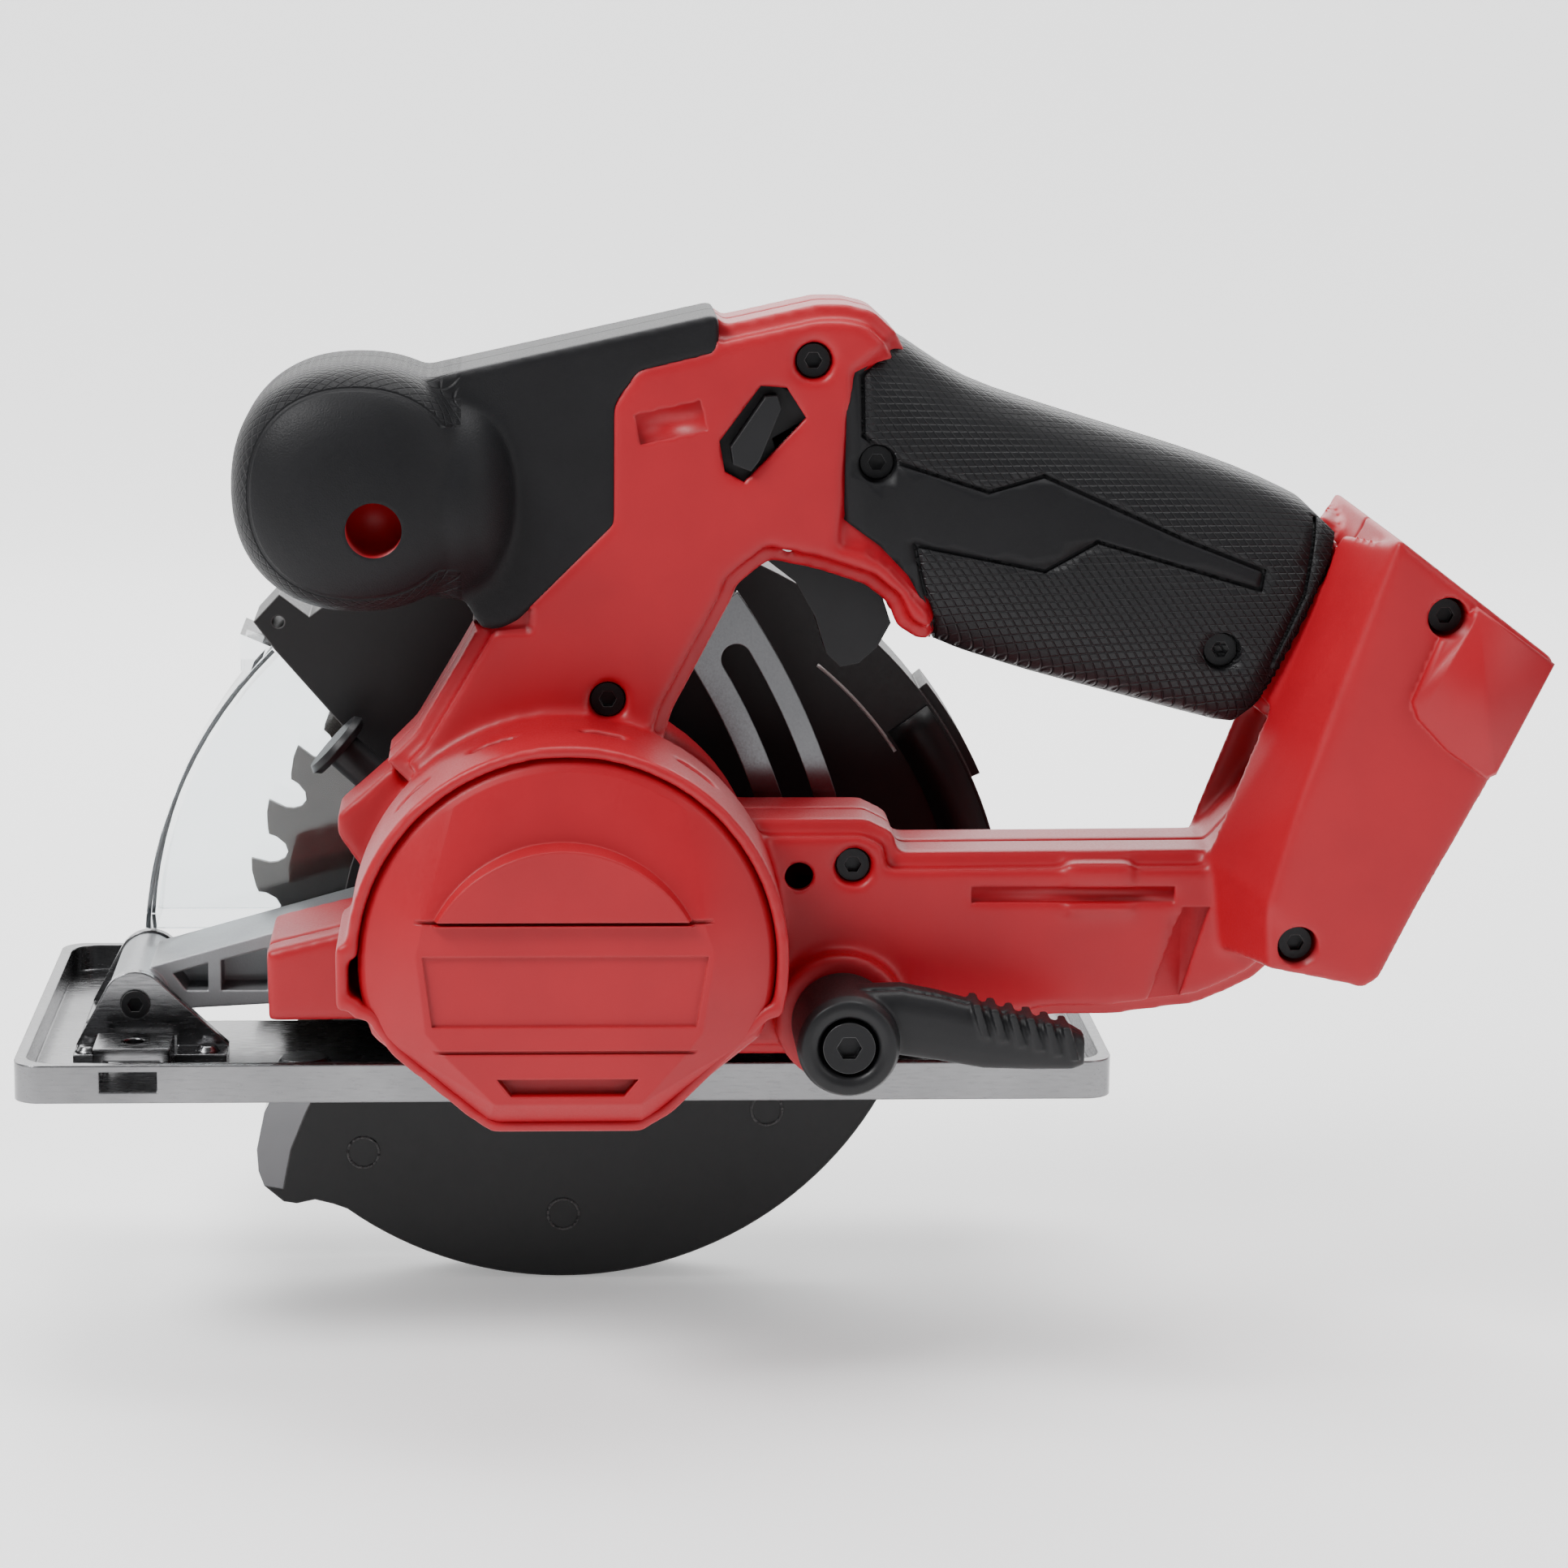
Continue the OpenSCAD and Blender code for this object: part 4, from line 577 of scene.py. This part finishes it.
# %% [markdown]
# The clamshell is two nylon mouldings. Every outer corner of such a moulding is rounded, and
# the foot flares out of the rail in one ramp. Each half starts as a copy of its sub-part, gets
# the ramp as an extra solid, and is then rebuilt from small voxels and smoothed, which blends
# both into one skin. What has to stay sharp, such as the corner pad, is added or cut after that.

# %% Housing halves
FLARE_BASE = [(143, 36), (141, 56), (150, 66), (157, 84), (160, 101), (165, 118), (169, 128), (196, 100),
              (170, 34)]
FLARE_FACE = [(152, 36), (151, 50), (157, 72), (167, 95), (173, 117), (176.5, 129), (211, 103.6), (199.5, 79),
              (175.5, 34.5), (172, 32), (161, 36)]
CORNER_PAD = [(186, 108.8), (194, 115.6), (211, 103.4), (199.3, 79.3), (197.2, 78.4), (188.4, 84.3),
              (181.6, 91.5), (180.4, 95.1)]
PAD_MIDDLE = (195, 98)
KNOB_CORE = {"left_of": -8, "above": 106, "half_length": 15, "shrink": 0.2}
GRIP_CORE = {"above": 82, "thinner": 0.22, "lower": 0.05, "ramp": (0.2, 3.6)}


def foot_extras(bm, side):
    """side is -1 for the near half and 1 for the far half."""
    base_y, face_y = (MID / MM + side * d for d in (14, FOOT_HALF))
    wrap(bm, [(x, base_y, z) for x, z in FLARE_BASE] + [(x, face_y, z) for x, z in FLARE_FACE])


def thin_core(piece):
    """Draws the cores under the two grips in, so that the grips can be rounder than them."""
    for vert in piece.data.vertices:
        x, y, z = (c / MM for c in vert.co)
        if x < KNOB_CORE["left_of"] and z > KNOB_CORE["above"]:
            shrink = 1 - KNOB_CORE["shrink"] * smooth_step(-x, 17, 24)
            out = max(-KNOB_CORE["half_length"], min(KNOB_CORE["half_length"], y - MID / MM))
            vert.co = Vector(((KNOB[0] + (x - KNOB[0]) * shrink) * MM, MID + out * MM,
                              (KNOB[1] + (z - KNOB[1]) * shrink) * MM))
        if inside((x, z), GRIP_ZONE) and z > GRIP_CORE["above"]:
            under_grip = smooth_step(edge_distance((x, z), GRIP_ZONE), *GRIP_CORE["ramp"])
            middle = spine(x)[0]
            vert.co.y = MID + (vert.co.y - MID) * (1 - GRIP_CORE["thinner"] * under_grip)
            vert.co.z = (middle + (z - middle) * (1 - GRIP_CORE["lower"] * under_grip)) * MM


RAIL_GROOVE = [(89, 46), (134, 46), (134, 49.6), (89, 49.6)]
RAIL_SLOT = [(136, 45), (142, 45), (135, 22), (128, 22)]
CLIP_TABS = [[(110, 49.4), (124, 49.4), (124, 55), (110, 55)],
             [(110, 43.6), (124, 43.6), (124, 46.2), (110, 46.2)]]
FOOT_SCREWS = [(188, 113), (158, 41)]
BADGE_PLACE = [(14.6, 153.3), (28.6, 156.5), (30.1, 150.2), (15.8, 147)]
BLIND_HOLE = (51, 52)
LOCK_OFF_WINDOW = [(34, 141.2), (38.2, 138.8), (51.5, 152.8), (47.2, 159.4), (41.6, 159.8), (32.8, 147.8)]


def corner_pad(piece, side):
    """Raises the block at the foot's rear corner."""
    pad = bmesh.new()
    face_y = MID / MM + side * FOOT_HALF
    wrap(pad, [(x, y, z) for x, z in CORNER_PAD for y in (face_y - side * 22, face_y + side * 2.2)]
         + [(x + 0.05 * (PAD_MIDDLE[0] - x), face_y + side * 3.2, z + 0.05 * (PAD_MIDDLE[1] - z))
            for x, z in CORNER_PAD])
    carve(piece, make_piece("pad", pad, red_nylon), "UNION")


def crisp_details(piece, side):
    """Cuts what must stay sharp: the lock-off window and, on the near half, all its recesses."""
    cuts = bmesh.new()
    wall = MID / MM + side * HALF / MM
    slab(cuts, LOCK_OFF_WINDOW, *sorted((wall - side * 6, wall + side * 2)))
    if side < 0:
        slab(cuts, RAIL_GROOVE, wall - 4, wall + 1.8)
        slab(cuts, RAIL_SLOT, wall - 4, wall + 2.3)
        slab(cuts, BADGE_PLACE, wall - 2, wall + 1.3)
        rod(cuts, (BLIND_HOLE[0], -66, BLIND_HOLE[1]), 3.2, 14)
        for x, z in FOOT_SCREWS:
            rod(cuts, (x, -84, z), 4.5, 30)
    carve(piece, make_piece("details", cuts, red_nylon))


def housing_half(name, node, side):
    piece = copy_of(name, node)
    extra = bmesh.new()
    foot_extras(extra, side)
    if side < 0:
        for tab in CLIP_TABS:
            slab(extra, tab, NEAR_WALL - 1.2, NEAR_WALL + 4)
    joined(name, piece, extra)
    melt(piece, 0.95, 4)
    thin_core(piece)
    piece.data.materials.append(red_nylon)
    corner_pad(piece, side)
    crisp_details(piece, side)
    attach(piece, "saw_body")
    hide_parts(node)
    print(name, len(piece.data.polygons), "faces")


housing_half("housing_left_moulding", "housing_left", -1)
housing_half("housing_right_moulding", "housing_right", 1)

# %% [markdown]
# The front knob is a short thick bar across the saw with domed ends, grown into a rubber pad
# on each side of the neck. The knob is a ring extruded along its length and drawn in towards
# both ends, the pads are plates, and a bulge between them makes the web. Voxels melt the three
# into one soft form, and a cut down the middle gives the two mouldings back.

# %% Front grip
KNOB_HALF = 31.6
BULGE = {"x": -24.5, "z": 135.5, "half_x": 16, "half_y": 28.6, "half_z": 24}
KNOB_HOLE = (-41, -75.5, 130.2)
NECK_PAD = [(-27, 114), (-22, 113), (-18.5, 107), (-15, 106.4), (-10.5, 108.6), (10.4, 129.6), (10.4, 155.5),
            (15.5, 162.4), (32.6, 166.6), (32.6, 175.2), (-30, 161)]


def knob_point(station, turn):
    c, s = superellipse(turn, 2.25)
    drawn_in = (1 - abs(station) ** 5.2) ** 0.46
    return ((KNOB[0] + KNOB_R[0] * drawn_in * c) * MM, MID + KNOB_HALF * station * MM,
            (KNOB[1] + KNOB_R[1] * drawn_in * s) * MM)


def bulge_point(station, turn):
    c, s = superellipse(turn, 2.2)
    drawn_in = (1 - abs(station) ** 2.6) ** 0.5
    return ((BULGE["x"] + BULGE["half_x"] * drawn_in * c) * MM, MID + BULGE["half_y"] * station * MM,
            (BULGE["z"] + BULGE["half_z"] * drawn_in * s) * MM)


def front_grip():
    bm = bmesh.new()
    ends = [math.sin(math.pi / 2 * step / 14) * 0.999 for step in range(-14, 15)]
    loft(bm, ends, 72, knob_point)
    loft(bm, ends, 48, bulge_point)
    slab(bm, NECK_PAD, (MID - HALF) / MM, (MID + HALF) / MM)
    piece = make_piece("front_grip", bm, grip_rubber)
    melt(piece, 0.8, 9)
    hole = bmesh.new()
    rod(hole, KNOB_HOLE, 6.2, 22, segments=48, far_radius_mm=5.8)
    carve(piece, make_piece("drill", hole, grip_rubber))
    return piece


def half_of(piece, name, side):
    """One side of a piece, cut a hair off the mid plane and closed."""
    bm = bmesh.new()
    bm.from_mesh(piece.data)
    middle = (0, MID + side * 0.0001, 0)
    bmesh.ops.bisect_plane(bm, geom=bm.verts[:] + bm.edges[:] + bm.faces[:], plane_co=middle,
                           plane_no=(0, -side, 0), clear_outer=True)
    rim = [edge for edge in bm.edges if edge.is_boundary]
    bmesh.ops.holes_fill(bm, edges=rim)
    return make_piece(name, bm, piece.data.materials[0])


KNOB_BAND, HOLE_WALL = 1, 2
HOLE_REACH = 6.4


def paint_knob_band(piece):
    """Gives the knob its banded finish, and the wall of its hole the red of the core."""
    piece.data.materials.append(knob_rubber)
    piece.data.materials.append(red_nylon)
    for face in piece.data.polygons:
        x, y, z = (c / MM for c in face.center)
        if math.hypot(x - KNOB_HOLE[0], z - KNOB_HOLE[2]) < HOLE_REACH and -76 < y < -60:
            face.material_index = HOLE_WALL
        elif x < -12:
            face.material_index = KNOB_BAND


whole_grip = front_grip()
for side, word in ((-1, "left"), (1, "right")):
    grip_half = half_of(whole_grip, f"front_grip_{word}_moulding", side)
    paint_knob_band(grip_half)
    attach(grip_half, "saw_body")
    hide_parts(f"front_grip_{word}")
    print(grip_half.name, len(grip_half.data.polygons), "faces")
bpy.data.objects.remove(whole_grip)

# %% [markdown]
# The rear grip is a tube of rubber round the handle. Its section is a rounded oblong that
# shrinks and turns along the handle. The loft follows a list of stations, each with the middle
# of the section, its half height and the slope of the handle, and the loft is then cut to the
# outline where rubber meets nylon. A groove marks off a smooth panel among the scales.

# %% Rear grip
PANEL_LINE = [
    (71.2, 170.4), (63.6, 162), (63.8, 149.1), (71.2, 143.3), (91.1, 137), (103.2, 140.4), (134.9, 126.3),
    (151.6, 119.9), (150.9, 115.7), (115, 126.2), (103.6, 119.8), (75.2, 125.4), (77.3, 116.5),
    (80.1, 107.6), (80.6, 98),
]
COLLAR_LINE = [(163.4, 130.5), (160.6, 114.7), (154.6, 101.1), (150, 86)]
SMOOTH_ZONE = PANEL_LINE + [(70, 96), (54, 128), (54, 168), (71.2, 173)]
GRIP_SCREWS = [(67, 143), (143, 102)]
TRIGGER_SPACE = [(56, 131), (73, 124.5), (79.5, 109), (79.5, 88), (56, 88)]
TRIGGER_HALF = 9.8
GRIP_POWER = 2.9
GROOVE_MM = 0.9


def grip_point(inset):
    def point(station, turn):
        x, z, half, slope = station
        c, s = superellipse(turn, GRIP_POWER)
        lean = math.radians(slope)
        up = (half - inset) * s
        return ((x - up * math.sin(lean)) * MM, MID + (HALF / MM + 0.6 - inset) * c * MM,
                (z + up * math.cos(lean)) * MM)
    return point


def ribbon(bm, line_mm, width_mm, reach_mm):
    """A thin wall through the whole grip that follows a line, to cut a groove with."""
    for (x0, z0), (x1, z1) in zip(line_mm, line_mm[1:]):
        run = Vector((x1 - x0, z1 - z0))
        side = Vector((-run.y, run.x)).normalized() * width_mm / 2
        ahead = run.normalized() * width_mm / 2
        corners = [Vector((x0, z0)) - side - ahead, Vector((x1, z1)) - side + ahead,
                   Vector((x1, z1)) + side + ahead, Vector((x0, z0)) + side - ahead]
        slab(bm, [tuple(corner) for corner in corners], MID / MM - reach_mm, MID / MM + reach_mm)


def rear_grip():
    bm = bmesh.new()
    loft(bm, GRIP_STATIONS, 64, grip_point(0))
    piece = make_piece("rear_grip", bm, scaled_rubber)
    bend = piece.modifiers.new("smoothing", "SUBSURF")
    bend.levels = bend.render_levels = 1
    settle(piece)
    zone = bmesh.new()
    slab(zone, GRIP_ZONE, MID / MM - 24, MID / MM + 24)
    carve(piece, make_piece("zone", zone, scaled_rubber), "INTERSECT")
    core = bmesh.new()
    loft(core, GRIP_STATIONS, 64, grip_point(GROOVE_MM))
    walls = bmesh.new()
    ribbon(walls, PANEL_LINE, GROOVE_MM, 22)
    ribbon(walls, COLLAR_LINE, GROOVE_MM, 22)
    cutter = make_piece("panel_groove", walls, scaled_rubber)
    merge = cutter.modifiers.new("merge", "REMESH")
    merge.mode = "VOXEL"
    merge.voxel_size = 0.25 * MM
    settle(cutter)
    carve(cutter, make_piece("core", core, scaled_rubber))
    carve(piece, cutter)
    room = bmesh.new()
    slab(room, TRIGGER_SPACE, MID / MM - TRIGGER_HALF, MID / MM + TRIGGER_HALF)
    for x, z in GRIP_SCREWS:
        rod(room, (x, -66.4, z), 4.3, 12)
    carve(piece, make_piece("room", room, scaled_rubber))
    return piece


whole_grip = rear_grip()
SMOOTH_PANEL = 1
for side, word in ((-1, "left"), (1, "right")):
    grip_half = half_of(whole_grip, f"rear_grip_{word}_moulding", side)
    grip_half.data.materials.append(grip_rubber)
    for face in grip_half.data.polygons:
        if inside((face.center.x / MM, face.center.z / MM), SMOOTH_ZONE):
            face.material_index = SMOOTH_PANEL
    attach(grip_half, "saw_body")
    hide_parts(f"rear_grip_{word}")
    print(grip_half.name, len(grip_half.data.polygons), "faces")
bpy.data.objects.remove(whole_grip)

# %% [markdown]
# The motor's end cap is a flat-faced dome. Its round foot sits in the rim, and its face is an
# octagon, so the skin between them is a set of long facets. A convex wrap round one circle and
# one octagon gives just these facets, and a few narrowing rings give the foot a round shoulder.
# A raised crown, a recessed blank plate and a cooling slot are added or cut, and a small bevel
# softens every edge.

# %% Motor end cap
CAP_MIDDLE = (0, 41)
CAP_R = 44.4
CAP_SHOULDER = [(1, -96), (0.995, -97.2), (0.982, -98.3), (0.962, -99.1), (0.935, -99.7)]
CAP_FACE = [(-30.5, 51), (28.5, 51), (31, 44), (28.5, 27), (24, 21), (15.5, 11.5), (-15.5, 11.5), (-25, 21),
            (-30, 27), (-32, 44)]
CAP_PLATE = [(-30.6, 43.6), (29.6, 43.6), (27.2, 28.4), (-28.6, 28.4)]
CAP_SLOT = [(-15, 17), (15, 17), (12, 13.2), (-12, 13.2)]
CROWN_MIDDLE = (-1, 36)
FACE_Y = -103.9


def arc(middle, radius, start, end, steps):
    """(x, z) points on an arc, angles in degrees from the +X side."""
    turns = [math.radians(start + (end - start) * step / steps) for step in range(steps + 1)]
    return [(middle[0] + radius * math.cos(t), middle[1] + radius * math.sin(t)) for t in turns]


def motor_cap():
    bm = bmesh.new()
    foot = arc(CAP_MIDDLE, CAP_R, 0, 360, 95)[:-1]
    low = [(x, max(z, 4.8, 4.8 + 0.82 * (abs(x) - 17))) for x, z in foot]
    shoulder = [(x * share, y, CAP_MIDDLE[1] + (z - CAP_MIDDLE[1]) * share)
                for share, y in CAP_SHOULDER for x, z in low]
    wrap(bm, [(x, -92, z) for x, z in low] + shoulder + [(x, FACE_Y, z) for x, z in CAP_FACE])
    piece = make_piece("motor_end_cap_dome", bm, red_nylon)
    crown = bmesh.new()
    wrap(crown, [(x, -97, z) for x, z in arc(CROWN_MIDDLE, 33.2, 24, 156, 32)]
         + [(x, FACE_Y - 2, z) for x, z in arc(CROWN_MIDDLE, 30.6, 28, 152, 32)])
    carve(piece, make_piece("crown", crown, red_nylon), "UNION")
    plate = bmesh.new()
    slab(plate, CAP_PLATE, -110, -103.1)
    slab(plate, CAP_SLOT, -110, -100.6)
    for z in (51.4, 23.2):
        slab(plate, [(-46, z), (46, z), (46, z - 0.8), (-46, z - 0.8)], -110, -103.1)
    carve(piece, make_piece("plate", plate, red_nylon))
    soften(piece, 0.5, 3, 12)
    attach(piece, "saw_body")
    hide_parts("motor_end_cap")
    print(piece.name, len(piece.data.polygons), "faces")


motor_cap()

# %% [markdown]
# The depth lever is one moulding: a round hub over the clamp bolt and a tapering arm with
# finger ribs near its tip. The hub is spun from its profile, the arm is a loft that thins
# towards the tip, and the ribs are slanting bars over its upper edge and part of its near face.

# %% Depth lever
LEVER_HUB = (60.2, 21.3)
HUB_PROFILE = [(3.2, -71.4), (10.6, -71.4), (11.1, -72.2), (11.1, -93.5), (10.2, -95.6), (8.4, -96),
               (6.9, -95.4), (6.4, -94.4), (6.4, -91.2), (3.2, -91.2)]
ARM_STATIONS = [
    (63, 25.5, 6.8, 6.4, -84), (72, 25, 7.6, 6.2, -84), (80, 23.6, 7.4, 5.8, -84),
    (90, 21.4, 6.9, 5.6, -84.5), (100, 20, 5.7, 5.2, -85), (109, 19, 4.6, 4.8, -85.5),
    (111.6, 18.7, 3.4, 4, -85.5),
]


RIB_COUNT = 6
FIRST_RIB = (88, 28.7)
RIB_STEP = (3.9, 1.02)


def spun(bm, profile_mm, middle_mm):
    """Turns a profile of (radius, y) points about an axis along Y."""
    verts = [bm.verts.new(((middle_mm[0] + r) * MM, y * MM, middle_mm[1] * MM)) for r, y in profile_mm]
    edges = [bm.edges.new(pair) for pair in zip(verts, verts[1:] + verts[:1])]
    bmesh.ops.spin(bm, geom=verts + edges, cent=(middle_mm[0] * MM, 0, middle_mm[1] * MM), axis=(0, 1, 0),
                   angle=2 * math.pi, steps=64, use_merge=True)
    bmesh.ops.remove_doubles(bm, verts=bm.verts, dist=0.000001)


def arm_point(station, turn):
    x, z, half_high, half_deep, y = station
    c, s = superellipse(turn, 3.4)
    return (x * MM, (y + half_deep * c) * MM, (z + half_high * s) * MM)


def finger_rib(bm, x, top):
    """A slanting bar across the arm's upper edge and part of its near face."""
    outline = [(x - 1.1, top + 0.9), (x + 0.7, top + 0.9), (x + 2.9, top - 6.4), (x + 1.1, top - 6.4)]
    slab(bm, outline, -90.8, -79.6)


def depth_lever():
    bm = bmesh.new()
    spun(bm, HUB_PROFILE, LEVER_HUB)
    loft(bm, ARM_STATIONS, 32, arm_point)
    for step in range(RIB_COUNT):
        finger_rib(bm, FIRST_RIB[0] + RIB_STEP[0] * step, FIRST_RIB[1] - RIB_STEP[1] * step)
    bore = bmesh.new()
    rod(bore, (LEVER_HUB[0], -97.2, LEVER_HUB[1]), 6.4, 12, segments=48)
    piece = make_piece("depth_lever_moulding", bm, black_nylon)
    melt(piece, 0.4, 2)
    carve(piece, make_piece("bore", bore, black_nylon))
    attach(piece, "depth_lever")
    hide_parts("depth_lever")
    print(piece.name, len(piece.data.polygons), "faces")


depth_lever()

# %% [markdown]
# The moving lower guard is one black moulding. Its side shows three witness rings, where the
# mould's ejector pins met the plastic. Thin dark rings along the clear upper window's cut edges
# are painted shade, for the dark look that light gives the edge of a polycarbonate sheet. The
# fixed guard has an engraved arc, whose highlight is painted as a pale line, and a low step at
# its rear. All of them are spun from a tiny profile.

# %% Guard details
GUARD_MIDDLE = (3.5, 18)


def thin_ring(name, middle_mm, radius_mm, y_mm, wide_mm, deep_mm, start, end, material, body):
    """A flat ring, or part of one, round an axis along Y."""
    bm = bmesh.new()
    t = math.radians(start)
    corners = [(-wide_mm / 2, 0), (wide_mm / 2, 0), (wide_mm / 2, deep_mm), (-wide_mm / 2, deep_mm)]
    verts = [bm.verts.new(((middle_mm[0] + (radius_mm + r) * math.cos(t)) * MM, (y_mm + d) * MM,
                           (middle_mm[1] + (radius_mm + r) * math.sin(t)) * MM)) for r, d in corners]
    face = bm.faces.new(verts)
    whole = abs(end - start) >= 360
    bmesh.ops.spin(bm, geom=[face] + list(face.edges) + verts, cent=(middle_mm[0] * MM, 0, middle_mm[1] * MM),
                   axis=(0, -1, 0), angle=math.radians(end - start), steps=max(12, int(abs(end - start) / 4)),
                   use_merge=whole)
    bmesh.ops.remove_doubles(bm, verts=bm.verts, dist=0.000001)
    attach(make_piece(name, bm, material), body)


near_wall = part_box("lower_guard")[0][1] / MM
for number, (x, z) in enumerate([(-47.5, -31.5), (0, -47), (48.5, -21.5)], start=1):
    thin_ring(f"guard_witness_ring_{number}", (x, z), 3.7, near_wall - 0.25, 0.6, 0.4, 0, 360, guard_paint,
              "lower_guard")
# Thin dark rings painted along the clear window's two cut edges, as painted shade for the dark look of a
# clear sheet's edge.
painted_edge_shade = finish("painted_edge_shade", (0.10, 0.11, 0.12), 0.2, grain_mm=0.6, grain=0.04, edge_mm=0.1)
for number, y in enumerate((8.1, 31.2), start=1):
    thin_ring(f"window_edge_shade_{number}", GUARD_MIDDLE, 100.9, y, 0.9, 0.6, 134.5, 176.5, painted_edge_shade,
              "saw_body")
# A pale ring painted along the fixed guard's engraved arc, as that arc's painted highlight.
pale_highlight = finish("engraved_line_highlight", (0.34, 0.33, 0.32), 0.4, metal=0.4, grain_mm=0.5, edge_mm=0.1)
thin_ring("guard_engraved_line_highlight", GUARD_MIDDLE, 88.5, 7.8, 0.8, 0.4, 33, 51, pale_highlight, "saw_body")
thin_ring("guard_rear_step", GUARD_MIDDLE, 95.2, 7.1, 11, 1.0, 6, 36, guard_paint, "saw_body")
print("guard details made")

# %% [markdown]
# The light is a photographer's table: a broad soft panel high on the left, a weaker one on the
# right to open the shadows, a strip behind to edge the black parts, and a pale room around.

# %% Floor and light
lowest = min(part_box(name)[0][2] for name in nodes) - 0.0005
SWEEP_BACK = 1.3
SWEEP_R = 0.7
FLOOR_GLOW, WALL_GLOW = 0.34, 1.3


def paper_sweep():
    """A roll of paper that lies flat and then curves up behind the saw, so no horizon shows."""
    bm = bmesh.new()
    ends = [bm.verts.new((x, -2.5, lowest)) for x in (-3.5, 3.5)]
    edges = [bm.edges.new(ends)]
    turns = [math.radians(5 * step) for step in range(19)]
    path = [(SWEEP_BACK + SWEEP_R * math.sin(t), lowest + SWEEP_R * (1 - math.cos(t))) for t in turns]
    for y, z in path + [(SWEEP_BACK + SWEEP_R, 3.2)]:
        grown = bmesh.ops.extrude_edge_only(bm, edges=edges)["geom"]
        for vert in (g for g in grown if isinstance(g, bmesh.types.BMVert)):
            vert.co.y, vert.co.z = y, z
        edges = [g for g in grown if isinstance(g, bmesh.types.BMEdge) and len(g.link_faces) == 1
                 and all(abs(v.co.y - y) + abs(v.co.z - z) < 0.0001 for v in g.verts)]
    mesh = bpy.data.meshes.new("paper_sweep")
    bm.to_mesh(mesh)
    bm.free()
    for face in mesh.polygons:
        face.use_smooth = True
    paper = finish("paper", (0.93, 0.93, 0.93), 0.8, drift=0.005, grain=0.01)
    shader = paper.node_tree.nodes["Principled BSDF"]
    shader.inputs["Emission Color"].default_value = (1, 1, 1, 1)
    tree = paper.node_tree
    y = parts_of(tree, object_place(tree))[1]
    tree.links.new(remap(tree, y, 0.15, 1.1, FLOOR_GLOW, WALL_GLOW), shader.inputs["Emission Strength"])
    mesh.materials.append(paper)
    sweep = bpy.data.objects.new("paper_sweep", mesh)
    bpy.context.scene.collection.objects.link(sweep)


paper_sweep()


def soft_panel(name, place, aim, size, power):
    lamp = bpy.data.lights.new(name, "AREA")
    lamp.shape = "RECTANGLE"
    lamp.size, lamp.size_y = size
    lamp.energy = power
    holder = bpy.data.objects.new(name, lamp)
    holder.location = place
    holder.rotation_euler = (Vector(aim) - Vector(place)).to_track_quat("-Z", "Y").to_euler()
    bpy.context.scene.collection.objects.link(holder)


SAW_MIDDLE = (0.03, -0.03, 0.06)
soft_panel("panel_left", (-0.75, -0.55, 0.95), SAW_MIDDLE, (0.6, 0.35), 21)
soft_panel("panel_right", (0.95, -0.7, 0.6), SAW_MIDDLE, (0.5, 0.8), 4)
soft_panel("panel_top", (0.1, 0.1, 1.1), SAW_MIDDLE, (1.1, 0.4), 12)
soft_panel("panel_back", (0.1, 0.9, 0.6), SAW_MIDDLE, (1.2, 0.4), 6)
world = bpy.data.worlds.new("studio")
bpy.context.scene.world = world
world.use_nodes = True
world.node_tree.nodes["Background"].inputs["Color"].default_value = (0.97, 0.98, 1, 1)
world.node_tree.nodes["Background"].inputs["Strength"].default_value = 0.22
